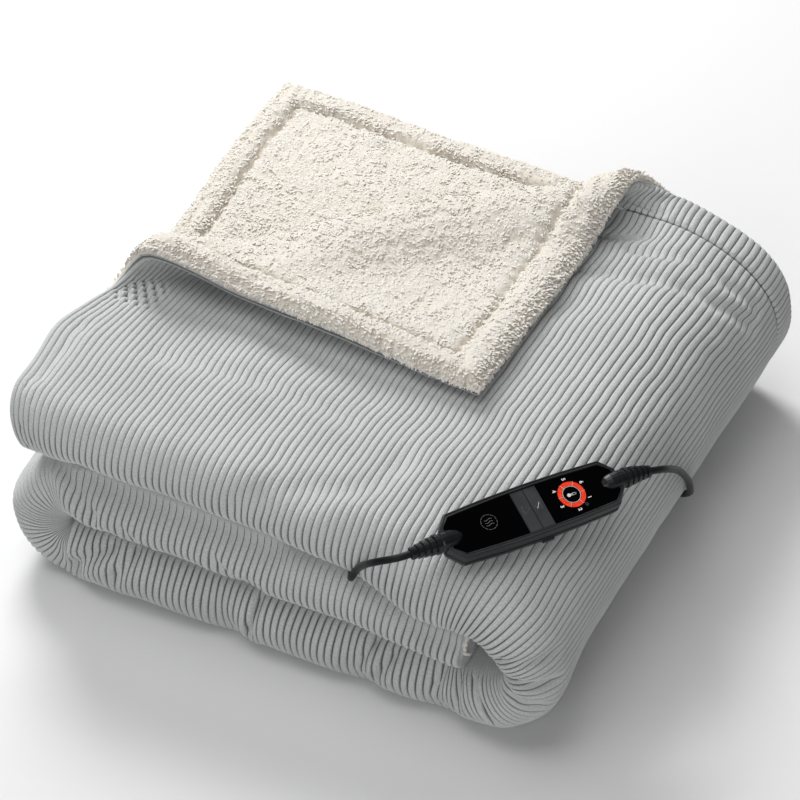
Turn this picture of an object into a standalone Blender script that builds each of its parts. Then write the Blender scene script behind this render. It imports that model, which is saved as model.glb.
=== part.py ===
"""An electric heated blanket, folded into a pile with one corner turned back.

Metres, +Z up. The origin is at the bottom centre of the pile with its controller.
The blanket is two cloths, a ribbed plush face and a fleece back. It is folded in
half twice along its ribs, and that long strip is then folded in three, so the pile
is three thick folds of four layers each. A point of the cloth is given by u, the
distance along the strip, v, the distance along the ribs, and its depth under the
ribbed side.
"""

import math

import bmesh
import bpy
import numpy as np
from mathutils import Matrix, Vector

# The folded pile
PILE_WIDTH = 0.432
PILE_DEPTH = 0.430
PLUSH = 0.0038
FLEECE = 0.0082
SEAM_GAP = 0.0003
LAYER_GAP = 0.0008
PACK_GAP_LOW = 0.003
PACK_GAP_HIGH = 0.002
HEM_STANDOFF = 0.002
TOP_END_SETBACK = 0.004
INNER_END_REACH = 0.014
WRAP_SQUEEZE = 0.32
WRAP_SQUARE = 0.045

# The ribs of the plush, raised at twice their real pitch
RIB_PITCH = 0.0053
RIBS_IN_ONE = 2
RIB_HEIGHT = 0.0020

# How many rows and columns of faces each straight and each bend has
ROWS = (6, 6, 3, 4, 3, 4, 3)
COLUMNS = (4, 7, 4, 7, 4)

# The corner that is turned back, and its roll
FLAP_ALONG_BACK = 0.340
FLAP_ALONG_SIDE = 0.303
FLAP_SKEW = 0.225
ROLL_RADIUS = 0.0145
FLAP_REST_GAP = 0.0035
FLAP_SETTLE = 0.085
FLAP_LIFT = 0.013

# The controller: its own X is along it, Z is out of its face
BOX_LENGTH = 0.138
BOX_WIDTH = 0.041
BOX_BOW = 0.0026
BOX_CORNER = 0.009
BOX_CORNER_DROP = 0.0105
BOX_HEIGHT = 0.015
BOX_SPLIT = 0.007
BOX_CENTRE = (0.1697, -0.1472, 0.1568)
BOX_HEADING = math.radians(55.9)
BOX_PITCH = math.radians(2.3)
BOX_ROLL = math.radians(18.9)
FOOT_INSET = 0.0018
COVER_INSET = 0.0006
FRAME_RIM = 0.0034
WINDOW_END = 0.0650
WINDOW_SINK = 0.0005
WINDOW_THICK = 0.0016
KEY_WIDTH = 0.0096
KEY_HEIGHT = 0.0034
KEY_SINK = 0.0004
KEY_TRAVEL = 0.0008
SLIDER_X = 0.004
SLIDER_SIZE = (0.009, 0.0026, 0.0030)
SLIDER_LEVEL = -0.0038
SLIDER_TRAVEL = 0.002
CLEARANCE = 0.0003

# The nose and the ribbed boot on each lead: (distance out from the nose's tip, radius)
NOSE_TIP = 0.0535
NOSE_LEVEL = 0.0046
NOSE = ((0.000, 0.0000), (0.0012, 0.0028), (0.004, 0.0050), (0.008, 0.0063), (0.013, 0.0068))
BOOT_START = 0.0175
BOOT_RINGS = 5
BOOT_RING_STEP = 0.0044
BOOT_RADII = (0.0072, 0.0045)
BOOT_GROOVE = 0.0011
BOOT_MOUTH_DEPTH = 0.0025
BOOT_DROOP = (math.radians(3), math.radians(17))

# The leads
LEAD_DIAMETER = 0.0052
LEAD_STEP = 0.0105
BLANKET_LEAD_ROUTE = (
    (0.1140, -0.2298, 0.1637),
    (0.1085, -0.2331, 0.1621),
    (0.1026, -0.2346, 0.1594),
    (0.0972, -0.2344, 0.1556),
    (0.0926, -0.2326, 0.1510),
    (0.0858, -0.2269, 0.1416),
    (0.0797, -0.2217, 0.1325),
    (0.0746, -0.2180, 0.1237),
    (0.0698, -0.2161, 0.1134),
    (0.0659, -0.2095, 0.1058),
    (0.0625, -0.2010, 0.1034),
)
MAINS_LEAD_ROUTE = (
    (0.2258, -0.0635, 0.1514),
    (0.2283, -0.0535, 0.1450),
    (0.2288, -0.0340, 0.1280),
    (0.2270, -0.0150, 0.1065),
    (0.2240, 0.0025, 0.0845),
    (0.2202, 0.0165, 0.0650),
    (0.2145, 0.0310, 0.0460),
    (0.2032, 0.0465, 0.0265),
    (0.1915, 0.0630, 0.0110),
    (0.1830, 0.0840, 0.0042),
    (0.1790, 0.1050, 0.0032),
    (0.1780, 0.1500, 0.0029),
    (0.1740, 0.1950, 0.0029),
    (0.1600, 0.2240, 0.0029),
    (0.1300, 0.2380, 0.0029),
    (0.0950, 0.2410, 0.0029),
    (0.0600, 0.2400, 0.0029),
    (0.0300, 0.2385, 0.0029),
    (0.0035, 0.2380, 0.0029),
)

# The coil's turns lie side by side in two layers; the lead runs along the coil's front
# and the plug's middle is on the same line
COIL_TURN_STEP = 0.0060
COIL_ROWS = 4
COIL_LAYERS = 2
COIL_RADIUS = 0.0304
COIL_CENTRE = (-0.020, 0.238 + COIL_RADIUS + (COIL_ROWS - 1) * COIL_TURN_STEP / 2)
PLUG_START = (-0.0455, 0.238)

# The plug, from its collar at the coil to its pins
PLUG_COLLAR = 0.022
PLUG_COLLAR_RADII = (0.0035, 0.0058)
PLUG_OUTLINE = ((0.0, 0.0070), (0.010, 0.0120), (0.026, 0.0168), (0.036, 0.0172))
PLUG_THICK = 0.0137
PIN_LENGTH = 0.019
PIN_RADIUS = 0.002
PIN_SPACING = 0.0186

# Where the middle of the pile is from the origin, which is under the middle of the
# pile with its controller
PILE_CENTRE = (-0.0005, 0.0051, 0.0)

# What follows from them
CLOTH = PLUSH + SEAM_GAP + FLEECE
LAYER_PITCH = CLOTH + LAYER_GAP
PACK = 3 * LAYER_PITCH + CLOTH
RIB_STEP = RIB_PITCH * RIBS_IN_ONE
LEFT = -PILE_WIDTH / 2
TOP_END = LEFT + TOP_END_SETBACK
FRONT = -PILE_DEPTH / 2
BACK = PILE_DEPTH / 2

# Mid-lines of the four layers of one thick fold, from its inner side
LAYER_1 = PACK - CLOTH / 2
LAYER_4 = CLOTH / 2
LAYER_3 = LAYER_4 + LAYER_PITCH
LAYER_2 = LAYER_3 + LAYER_PITCH
BEND_BIG = 1.5 * LAYER_PITCH
BEND_SMALL = 0.5 * LAYER_PITCH
BEND_FRONT_Y = FRONT + PACK / 2
BEND_BACK_Y = BACK - HEM_STANDOFF - BEND_SMALL - CLOTH / 2

# Levels and bends of the strip that is folded in three
LOW_TOP = PACK
MIDDLE_BOTTOM = PACK + PACK_GAP_LOW
HIGH_BOTTOM = MIDDLE_BOTTOM + PACK + PACK_GAP_HIGH
WRAP_LEFT = PACK_GAP_LOW / 2
WRAP_RIGHT = (HIGH_BOTTOM - LOW_TOP) / 2
WRAP_LEFT_X = LEFT + WRAP_LEFT + PACK
WRAP_RIGHT_X = LEFT + PILE_WIDTH - WRAP_RIGHT - PACK

V_STOPS = np.cumsum(
    [
        0.0,
        BACK - BEND_FRONT_Y,
        math.pi * BEND_BIG,
        BEND_BACK_Y - BEND_FRONT_Y,
        math.pi * BEND_SMALL,
        BEND_BACK_Y - BEND_FRONT_Y,
        math.pi * BEND_SMALL,
        BACK - BEND_FRONT_Y,
    ]
)
U_STOPS = np.cumsum(
    [
        0.0,
        WRAP_RIGHT_X - TOP_END,
        math.pi * (WRAP_RIGHT + LAYER_1),
        WRAP_RIGHT_X - WRAP_LEFT_X,
        math.pi * (WRAP_LEFT + LAYER_1),
        WRAP_RIGHT_X + INNER_END_REACH - WRAP_LEFT_X,
    ]
)
CUT_LENGTH = float(V_STOPS[-1])
CUT_WIDTH = float(U_STOPS[-1])
FLAP_SCALE = 1 / math.hypot(1 / FLAP_ALONG_BACK, 1 / FLAP_ALONG_SIDE)

# Soft dents: (x, y, z) of both ends from the pile's left front corner, how far a
# point there is pushed, and the width of the dent
DENTS = (
    # a valley before the turned-back corner
    ((-0.02, 0.270, 0.17), (0.07, 0.245, 0.17), (0.000, 0.000, -0.0190), 0.055),
    # the back edge and the right back corner hang lower
    ((0.150, 0.440, 0.16), (0.270, 0.440, 0.16), (0.000, 0.000, -0.0060), 0.060),
    ((0.360, 0.440, 0.16), (0.440, 0.400, 0.16), (0.000, 0.000, -0.0120), 0.080),
    # the free end of the top fold draws in towards the front and swells behind
    ((-0.010, 0.000, 0.12), (-0.010, 0.040, 0.13), (0.020, 0.004, -0.0020), 0.045),
    ((-0.010, 0.110, 0.16), (-0.010, 0.170, 0.16), (-0.012, 0.000, 0.0000), 0.045),
    # the roll of the corner stands up at the back edge
    ((0.320, 0.430, 0.18), (0.335, 0.430, 0.18), (0.000, 0.000, 0.0130), 0.035),
    # a crease along the top, behind the front bulge
    ((0.16, 0.145, 0.16), (0.30, 0.120, 0.16), (0.000, 0.000, -0.0030), 0.020),
    # a dent in the front bulge of the top fold
    ((0.215, 0.030, 0.150), (0.315, 0.010, 0.140), (0.000, 0.0060, -0.0040), 0.020),
    # the front of the top fold sinks over the end of the middle one
    ((0.340, -0.005, 0.112), (0.395, 0.000, 0.112), (0.000, -0.0090, -0.0110), 0.036),
    # pinches in the bulges of the middle and the low fold
    ((0.030, -0.010, 0.090), (0.045, 0.000, 0.060), (0.004, 0.0060, 0.000), 0.014),
    ((0.020, -0.010, 0.045), (0.050, 0.000, 0.020), (0.003, 0.0060, 0.000), 0.014),
    ((0.165, -0.010, 0.045), (0.185, 0.000, 0.015), (0.000, 0.0060, 0.000), 0.013),
    ((0.275, -0.010, 0.045), (0.290, 0.000, 0.015), (0.000, 0.0055, 0.000), 0.013),
    ((0.335, -0.010, 0.050), (0.350, 0.000, 0.015), (0.000, 0.0070, 0.000), 0.015),
    # the low right front corner swells out
    ((0.400, 0.010, 0.030), (0.430, 0.030, 0.040), (0.007, -0.0070, 0.000), 0.030),
    # the shoulder at the right front, where the controller lies
    ((0.350, 0.000, 0.165), (0.440, 0.060, 0.165), (0.000, 0.0030, -0.0110), 0.060),
)


def smooth_step(value, low, high):
    """0 below low, 1 above high, and a smooth ramp between them."""
    share = np.clip((value - low) / (high - low), 0, 1)
    return share * share * (3 - 2 * share)


def fold_section(v):
    """(y, height in the fold) of the cloth's middle, and the direction of its ribbed side."""
    stops = V_STOPS
    if v <= stops[1]:
        return BACK - v, LAYER_1, 0.0, 1.0
    if v <= stops[2]:
        angle = (v - stops[1]) / BEND_BIG
        rise = LAYER_4 + BEND_BIG * (1 + math.cos(angle))
        return BEND_FRONT_Y - BEND_BIG * math.sin(angle), rise, -math.sin(angle), math.cos(angle)
    if v <= stops[3]:
        return BEND_FRONT_Y + v - stops[2], LAYER_4, 0.0, -1.0
    if v <= stops[4]:
        angle = (v - stops[3]) / BEND_SMALL
        rise = LAYER_4 + BEND_SMALL * (1 - math.cos(angle))
        return BEND_BACK_Y + BEND_SMALL * math.sin(angle), rise, math.sin(angle), -math.cos(angle)
    if v <= stops[5]:
        return BEND_BACK_Y - (v - stops[4]), LAYER_3, 0.0, 1.0
    if v <= stops[6]:
        angle = (v - stops[5]) / BEND_SMALL
        rise = LAYER_3 + BEND_SMALL * (1 - math.cos(angle))
        return BEND_FRONT_Y - BEND_SMALL * math.sin(angle), rise, math.sin(angle), math.cos(angle)
    return BEND_FRONT_Y + v - stops[6], LAYER_2, 0.0, -1.0


def strip_point(u, rise):
    """(x, z) of a point of the strip, rise above its inner side.

    The right bend is pulled tight, so the layers there lie closer together.
    """
    stops = U_STOPS
    if u <= stops[1]:
        return TOP_END + u, HIGH_BOTTOM + rise
    if u <= stops[2]:
        angle = (u - stops[1]) / (WRAP_RIGHT + LAYER_1)
        tight = 1 - WRAP_SQUEEZE * math.sin(angle) ** 2
        square = 1 + WRAP_SQUARE * math.sin(2 * angle) ** 2 * (math.cos(angle) > 0)
        reach = (WRAP_RIGHT + PACK) * square - tight * (PACK - rise)
        centre_z = LOW_TOP + WRAP_RIGHT
        return WRAP_RIGHT_X + reach * math.sin(angle), centre_z + reach * math.cos(angle)
    if u <= stops[3]:
        return WRAP_RIGHT_X - (u - stops[2]), LOW_TOP - rise
    if u <= stops[4]:
        angle = (u - stops[3]) / (WRAP_LEFT + LAYER_1)
        reach = WRAP_LEFT + rise
        centre_z = LOW_TOP + WRAP_LEFT
        return WRAP_LEFT_X - reach * math.sin(angle), centre_z - reach * math.cos(angle)
    return WRAP_LEFT_X + (u - stops[4]), MIDDLE_BOTTOM + rise


def beyond_flap_line(u, v):
    """How far a point of the sheet lies past the line about which the corner turns back."""
    return (1 - u / FLAP_ALONG_BACK - v / FLAP_ALONG_SIDE) * FLAP_SCALE


def turn_back(u, v, offset):
    """The point of the turned-back corner: it rolls over and lies on the pile, fleece up."""
    past = beyond_flap_line(u, v)
    out = np.array([-1 / FLAP_ALONG_BACK, 1 / FLAP_ALONG_SIDE, 0]) * FLAP_SCALE
    along = np.array([1 / FLAP_ALONG_SIDE, 1 / FLAP_ALONG_BACK, 0]) * FLAP_SCALE
    up = np.array([0.0, 0.0, 1.0])
    start = np.array([TOP_END + u, BACK - v, HIGH_BOTTOM + LAYER_1]) - out * past
    angle = min(past / ROLL_RADIUS, math.pi)
    middle = start + out * ROLL_RADIUS * math.sin(angle)
    middle = middle + up * ROLL_RADIUS * (1 - math.cos(angle))
    normal = up * math.cos(angle) - out * math.sin(angle)
    left = past - math.pi * ROLL_RADIUS
    if left > 0:
        settled = CLOTH + RIB_HEIGHT + FLAP_REST_GAP - 2 * ROLL_RADIUS
        middle = middle + (along * FLAP_SKEW - out) * left
        middle = middle + up * settled * smooth_step(left, 0, FLAP_SETTLE)
        free_edge = math.exp(-((u / 0.060) ** 2)) * math.exp(-(((v - 0.130) / 0.070) ** 2))
        middle = middle + up * FLAP_LIFT * free_edge * smooth_step(left, 0, 0.040)
    return middle + normal * offset


def press(point):
    """Gives the square pile its soft unevenness: it is pressed, dented and lower at the right."""
    x, y, z = point
    for start, end, push, width in DENTS:
        first = np.array(start) + (LEFT, FRONT, 0)
        line = np.array(end) - np.array(start)
        share = np.clip(np.dot(point - first, line) / np.dot(line, line), 0, 1)
        away = np.linalg.norm(point - first - share * line)
        strength = math.exp(-((away / width) ** 2))
        x += push[0] * strength
        y += push[1] * strength
        z += push[2] * strength * smooth_step(point[2], 0, 0.030)
    along = (point[0] - LEFT) / PILE_WIDTH
    wave = 0.010 * math.sin(2.2 * math.pi * along + 0.6) * math.cos(2.6 * point[1] / PILE_DEPTH)
    tall = 1.0 - 0.035 * smooth_step(along, 0.35, 1.0) + wave
    return np.array([x, y, z * tall])


def cloth_point(u, v, depth):
    """The place in the pile of a point of the cloth, depth below its ribbed side."""
    offset = CLOTH / 2 - depth
    if v < V_STOPS[1] and beyond_flap_line(u, v) > 0:
        return press(turn_back(u, v, offset))
    y, rise, out_y, out_rise = fold_section(v)
    x, z = strip_point(u, rise + offset * out_rise)
    return press(np.array([x, y + offset * out_y, z]))


def rib_share(u, v):
    """1 where the ribs show, fading to 0 in the folds and on the floor."""
    bend = (v - V_STOPS[1]) / (V_STOPS[2] - V_STOPS[1])
    open_end = 1 - smooth_step(bend, 0.70, 0.92)
    if v > V_STOPS[2]:
        return 0.0
    outside = max(
        1 - smooth_step(u, U_STOPS[2] - 0.060, U_STOPS[2] - 0.030),
        smooth_step(u, U_STOPS[3] + 0.030, U_STOPS[3] + 0.050)
        * (1 - smooth_step(u, U_STOPS[4] - 0.040, U_STOPS[4] - 0.020)),
    )
    on_bulge = smooth_step(bend, 0.10, 0.32)
    before_flap = smooth_step(-beyond_flap_line(u, v), 0.0, 0.012)
    return float(open_end * max(outside, on_bulge) * before_flap)


def rib_relief(u, v):
    """How far the plush stands out at a rib's crown or drops in the groove beside it."""
    crown = 0.5 - 0.5 * math.cos(2 * math.pi * u / RIB_STEP)
    return RIB_HEIGHT * crown * rib_share(u, v)


def even_stops(low, high, count):
    return list(np.linspace(low, high, count + 1)[1:-1])


def cut_across(flat, point, normal, wanted):
    """Cuts the faces whose middle is wanted along one straight line of the flat sheet."""
    faces = [face for face in flat.faces if wanted(face.calc_center_median())]
    parts = set(faces)
    for face in faces:
        parts.update(face.verts)
        parts.update(face.edges)
    bmesh.ops.bisect_plane(
        flat, geom=list(parts), dist=1e-6, plane_co=Vector(point), plane_no=Vector(normal)
    )


def flat_sheet(ribbed):
    """The sheet laid out flat and cut into faces where it will bend, roll or rib."""
    half_rib = RIB_STEP / 2
    flat = bmesh.new()
    corners = ((0, 0), (CUT_WIDTH, 0), (CUT_WIDTH, CUT_LENGTH), (0, CUT_LENGTH))
    flat.faces.new([flat.verts.new((x, y, 0)) for x, y in corners])
    rows = list(V_STOPS[1:-1])
    for low, high, count in zip(V_STOPS[:-1], V_STOPS[1:], ROWS):
        rows += even_stops(low, high, count)
    for v in rows:
        cut_across(flat, (0, v, 0), (0, 1, 0), lambda middle: True)
    columns = list(U_STOPS[1:-1])
    for low, high, count in zip(U_STOPS[:-1], U_STOPS[1:], COLUMNS):
        columns += even_stops(low, high, count)
    for u in columns:
        u = round(u / half_rib) * half_rib
        cut_across(flat, (u, 0, 0), (1, 0, 0), lambda middle: True)
    roll = [math.pi * ROLL_RADIUS * step / 6 for step in range(7)]
    turned = [roll[-1] + reach for reach in (0.030, 0.060, 0.090, 0.120)]
    slant = (-1 / FLAP_ALONG_BACK, -1 / FLAP_ALONG_SIDE, 0)
    for past in [-0.014] + roll + turned:
        inside = FLAP_ALONG_BACK * (1 - past / FLAP_SCALE)
        cut_across(
            flat,
            (inside, 0, 0),
            slant,
            lambda middle: middle.x < FLAP_ALONG_BACK + 0.08 and middle.y < V_STOPS[1],
        )
    if ribbed:
        for step in range(1, int(CUT_WIDTH / half_rib) + 1):
            cut_across(flat, (step * half_rib, 0, 0), (1, 0, 0), shows_ribs)
    bmesh.ops.triangulate(flat, faces=flat.faces[:])
    return flat


def shows_ribs(middle):
    if middle.y > V_STOPS[2] or beyond_flap_line(middle.x, middle.y) > -0.002:
        return False
    if middle.y > V_STOPS[1]:
        return True
    return middle.x < U_STOPS[2] or U_STOPS[3] < middle.x < U_STOPS[4]


def around(flat):
    """The border points of the flat sheet in order, with how far round each one lies."""
    found = []
    for vert in flat.verts:
        x, y = vert.co.x, vert.co.y
        if y < 1e-6:
            found.append((x, vert))
        elif x > CUT_WIDTH - 1e-6:
            found.append((CUT_WIDTH + y, vert))
        elif y > CUT_LENGTH - 1e-6:
            found.append((CUT_WIDTH + CUT_LENGTH + CUT_WIDTH - x, vert))
        elif x < 1e-6:
            found.append((2 * (CUT_WIDTH + CUT_LENGTH) - y, vert))
    return sorted(found, key=lambda item: item[0])


def closed_cloth(name, upper, lower, upper_point, lower_point):
    """One closed cloth between two flat sheets, each lifted to its place in the pile."""
    cloth = bmesh.new()
    rims = []
    for flat, lift, turned in ((upper, upper_point, True), (lower, lower_point, False)):
        made = {vert: cloth.verts.new(lift(vert.co.x, vert.co.y)) for vert in flat.verts}
        for face in flat.faces:
            corners = [made[vert] for vert in face.verts]
            cloth.faces.new(corners[::-1] if turned else corners)
        rims.append([(far, made[vert]) for far, vert in around(flat)])
    whole = 2 * (CUT_WIDTH + CUT_LENGTH)
    first, second = (rim + [(whole, rim[0][1])] for rim in rims)
    i = j = 0
    while i < len(first) - 1 or j < len(second) - 1:
        take_first = j == len(second) - 1
        if i < len(first) - 1 and j < len(second) - 1:
            take_first = first[i + 1][0] <= second[j + 1][0]
        if take_first:
            cloth.faces.new((first[i][1], first[i + 1][1], second[j][1]))
            i += 1
        else:
            cloth.faces.new((first[i][1], second[j + 1][1], second[j][1]))
            j += 1
    bmesh.ops.recalc_face_normals(cloth, faces=cloth.faces[:])
    mesh = bpy.data.meshes.new(name)
    cloth.to_mesh(mesh)
    cloth.free()
    mesh.shade_smooth()
    mesh.set_sharp_from_angle(angle=math.radians(35))
    return bpy.data.objects.new(name, mesh)


def finish(colour, roughness, metallic=0.0, name="finish"):
    material = bpy.data.materials.new(name)
    material.use_nodes = True
    shader = material.node_tree.nodes["Principled BSDF"]
    shader.inputs["Base Color"].default_value = (*colour, 1)
    shader.inputs["Roughness"].default_value = roughness
    shader.inputs["Metallic"].default_value = metallic
    return material


def keep(obj, group, material):
    group.objects.link(obj)
    obj.data.materials.clear()
    obj.data.materials.append(material)
    return obj


def make_cloths(group):
    fine = flat_sheet(ribbed=True)
    coarse = flat_sheet(ribbed=False)
    plush = closed_cloth(
        "face_panel",
        fine,
        coarse,
        lambda u, v: cloth_point(u, v, -rib_relief(u, v)),
        lambda u, v: cloth_point(u, v, PLUSH),
    )
    keep(plush, group, finish((0.50, 0.51, 0.50), 0.95, name="grey_plush"))
    fleece = closed_cloth(
        "fleece_panel",
        coarse,
        coarse,
        lambda u, v: cloth_point(u, v, PLUSH + SEAM_GAP),
        lambda u, v: cloth_point(u, v, CLOTH),
    )
    keep(fleece, group, finish((0.80, 0.76, 0.68), 1.0, name="cream_fleece"))
    fine.free()
    coarse.free()


def solid_from(name, build):
    """A mesh object whose faces build() makes, with its normals turned outward."""
    shape = bmesh.new()
    build(shape)
    bmesh.ops.remove_doubles(shape, verts=shape.verts[:], dist=1e-6)
    bmesh.ops.recalc_face_normals(shape, faces=shape.faces[:])
    mesh = bpy.data.meshes.new(name)
    shape.to_mesh(mesh)
    shape.free()
    return bpy.data.objects.new(name, mesh)


def prism(name, outline, low, high, foot_inset=0.0):
    """An upright solid over a flat outline, drawn in a little at its foot."""

    def build(shape):
        foot = shape.faces.new([shape.verts.new((x, y, high)) for x, y in outline])
        made = bmesh.ops.extrude_face_region(shape, geom=[foot])["geom"]
        for vert in (item for item in made if isinstance(item, bmesh.types.BMVert)):
            vert.co.z = low
            vert.co.x -= math.copysign(foot_inset, vert.co.x)
            vert.co.y -= math.copysign(foot_inset, vert.co.y)

    return solid_from(name, build)


def round_edges(obj, width, segments=2):
    bevel = obj.modifiers.new("rounded", "BEVEL")
    bevel.width = width
    bevel.segments = segments
    bevel.limit_method = "ANGLE"
    bevel.angle_limit = math.radians(40)


def turned(name, profile, steps=16):
    """A solid turned about its own X axis from (along, radius) points, closed at both ends."""

    def build(shape):
        points = [shape.verts.new((along, 0, radius)) for along, radius in profile]
        edges = [shape.edges.new(pair) for pair in zip(points[:-1], points[1:])]
        bmesh.ops.spin(
            shape,
            geom=points + edges,
            cent=(0, 0, 0),
            axis=(1, 0, 0),
            angle=2 * math.pi,
            steps=steps,
            use_merge=True,
        )

    return solid_from(name, build)


def cut(obj, cutter):
    boolean = obj.modifiers.new("cut_" + cutter.name, "BOOLEAN")
    boolean.operation = "DIFFERENCE"
    boolean.object = cutter


def side_reach(x, inset=0.0):
    """Half the controller's width at x: slightly bowed long sides and slanted ends."""
    middle = BOX_WIDTH / 2 - BOX_BOW * (x / (BOX_LENGTH / 2)) ** 2
    slant = (abs(x) - BOX_LENGTH / 2 + BOX_CORNER) / BOX_CORNER
    drop = max(0.0, slant) * BOX_CORNER_DROP
    return middle - drop - inset


def housing_outline(inset=0.0):
    end = BOX_LENGTH / 2
    shoulder = end - BOX_CORNER
    stops = [-end + inset, -shoulder, -shoulder / 2, 0, shoulder / 2, shoulder, end - inset]
    side = [(x, side_reach(x, inset)) for x in stops]
    return side[::-1] + [(x, -y) for x, y in side]


def window_outline(start, end):
    corner = BOX_LENGTH / 2 - BOX_CORNER - FRAME_RIM / 2
    half = [KEY_WIDTH, corner / 2, corner]
    between = [-x for x in half[::-1]] + half
    stops = [start] + [x for x in between if start < x < end] + [end]
    side = [(x, side_reach(x, COVER_INSET + FRAME_RIM)) for x in stops]
    return side[::-1] + [(x, -y) for x, y in side]


def nose_profile(extra=0.0):
    """The nose's smooth drop, its collar and the boot's rings, from its tip outwards."""
    points = [(along, radius + (extra if radius else 0)) for along, radius in NOSE]
    points += [(BOOT_START - 0.001, NOSE[-1][1] + extra)]
    if extra:
        return points + [(BOOT_START + 0.010, NOSE[-1][1] + extra), (BOOT_START + 0.010, 0)]
    for ring in range(BOOT_RINGS):
        start = BOOT_START + ring * BOOT_RING_STEP
        share = ring / (BOOT_RINGS - 1)
        crown = BOOT_RADII[0] + share * (BOOT_RADII[1] - BOOT_RADII[0])
        points += [(start, crown - BOOT_GROOVE), (start + 0.0014, crown - BOOT_GROOVE)]
        points += [(start + 0.0016, crown), (start + BOOT_RING_STEP - 0.0002, crown)]
    mouth = LEAD_DIAMETER / 2 + 2 * CLEARANCE
    floor = boot_length() - BOOT_MOUTH_DEPTH
    points += [(boot_length(), BOOT_RADII[1] - 0.0004), (boot_length(), mouth)]
    return points + [(floor, mouth), (floor, 0)]


def boot_length():
    return BOOT_START + BOOT_RINGS * BOOT_RING_STEP


def box_matrix():
    tilt = Matrix.Rotation(BOX_PITCH, 4, "Y") @ Matrix.Rotation(BOX_ROLL, 4, "X")
    return Matrix.Translation(BOX_CENTRE) @ Matrix.Rotation(BOX_HEADING, 4, "Z") @ tilt


def nose_matrix(side):
    place = Matrix.Translation((side * NOSE_TIP, 0, NOSE_LEVEL))
    return place if side > 0 else place @ Matrix.Rotation(math.pi, 4, "Z")


def droop(point, angle):
    """Bends the outer part of a boot down by the weight of its lead."""
    far = max(0.0, point.x - BOOT_START)
    bend = (boot_length() - BOOT_START) / angle
    turned_by = min(far, bend * angle) / bend
    x = min(point.x, BOOT_START) + bend * math.sin(turned_by)
    z = -bend * (1 - math.cos(turned_by))
    beyond = max(0.0, point.x - boot_length())
    x += beyond * math.cos(turned_by) + point.z * math.sin(turned_by)
    z += point.z * math.cos(turned_by) - beyond * math.sin(turned_by)
    return Vector((x, point.y, z))


def lead_exit(side, gap):
    """Where a lead leaves its boot, in the pile's frame."""
    tip = droop(Vector((boot_length() + gap, 0, 0)), BOOT_DROOP[side > 0])
    return box_matrix() @ nose_matrix(side) @ tip


def make_controller(group, cutters):
    dark = finish((0.030, 0.032, 0.035), 0.45, name="dark_plastic")
    gloss = finish((0.004, 0.004, 0.005), 0.08, name="gloss_window")
    satin = finish((0.035, 0.037, 0.040), 0.6, name="satin_key")
    top = BOX_HEIGHT / 2
    split = BOX_SPLIT - BOX_HEIGHT / 2
    key_pocket = window_outline(-KEY_WIDTH - 2 * CLEARANCE, KEY_WIDTH + 2 * CLEARANCE)

    base = prism("controller_base", housing_outline(), -top, split, foot_inset=FOOT_INSET)
    round_edges(base, 0.0012)
    cover = prism("controller_cover", housing_outline(COVER_INSET), split + CLEARANCE, top)
    round_edges(cover, 0.0012)
    window_floor = top - WINDOW_SINK - WINDOW_THICK - CLEARANCE
    key_floor = top - KEY_SINK - KEY_HEIGHT - KEY_TRAVEL - 0.001
    rim = window_outline(-WINDOW_END, WINDOW_END)
    tools = [
        prism("window_pocket", rim, window_floor, top + 0.002),
        prism("key_pocket", key_pocket, key_floor, top + 0.003),
    ]
    for side in (-1, 1):
        tool = turned("nose_seat", nose_profile(CLEARANCE))
        tool.matrix_world = nose_matrix(side)
        tools.append(tool)
    for tool in tools:
        cutters.objects.link(tool)
        tool.hide_render = True
        tool.display_type = "WIRE"
        cut(cover, tool)
    for tool in tools[2:]:
        cut(base, tool)
    length, depth, height = SLIDER_SIZE
    slot_length = length + 2 * SLIDER_TRAVEL + 2 * CLEARANCE
    slot = box("slider_slot", (slot_length, depth, height + 2 * CLEARANCE))
    wall = slider_wall()
    slot.matrix_world = Matrix.Translation((SLIDER_X, wall, SLIDER_LEVEL))
    cutters.objects.link(slot)
    slot.hide_render = True
    slot.display_type = "WIRE"
    cut(base, slot)

    pieces = [keep(base, group, dark), keep(cover, group, dark)]
    gap = KEY_WIDTH + 3 * CLEARANCE
    for name, start, end in (
        ("window_front", -WINDOW_END, -gap),
        ("window_dial", gap, WINDOW_END),
    ):
        outline = [(x, y - math.copysign(CLEARANCE, y)) for x, y in window_outline(start, end)]
        far = WINDOW_END - CLEARANCE
        outline = [(min(max(x, -far), far), y) for x, y in outline]
        pane = prism(name, outline, top - WINDOW_SINK - WINDOW_THICK, top - WINDOW_SINK)
        for tool in tools[2:]:
            cut(pane, tool)
        pieces.append(keep(pane, group, gloss))
    for name, centre in (("key_left", -0.5), ("key_right", 0.5)):
        middle = centre * (KEY_WIDTH + CLEARANCE)
        key = box(
            name,
            (KEY_WIDTH, 2 * side_reach(KEY_WIDTH, COVER_INSET + FRAME_RIM + CLEARANCE), KEY_HEIGHT),
        )
        key.matrix_world = Matrix.Translation((middle, 0, top - KEY_SINK - KEY_HEIGHT / 2))
        round_edges(key, 0.0004, 1)
        pieces.append(keep(key, group, satin))
    slider = box("power_slider", SLIDER_SIZE)
    slider.matrix_world = Matrix.Translation((SLIDER_X, wall - CLEARANCE, SLIDER_LEVEL))
    round_edges(slider, 0.0004, 1)
    pieces.append(keep(slider, group, satin))
    for name, side in (("boot_left", -1), ("boot_right", 1)):
        boot = turned(name, nose_profile())
        for vert in boot.data.vertices:
            vert.co = droop(vert.co, BOOT_DROOP[side > 0])
        boot.matrix_world = nose_matrix(side)
        boot.data.shade_smooth()
        boot.data.set_sharp_from_angle(angle=math.radians(35))
        pieces.append(keep(boot, group, dark))
    for piece in pieces + tools + [slot]:
        piece.matrix_world = box_matrix() @ piece.matrix_world


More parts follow.
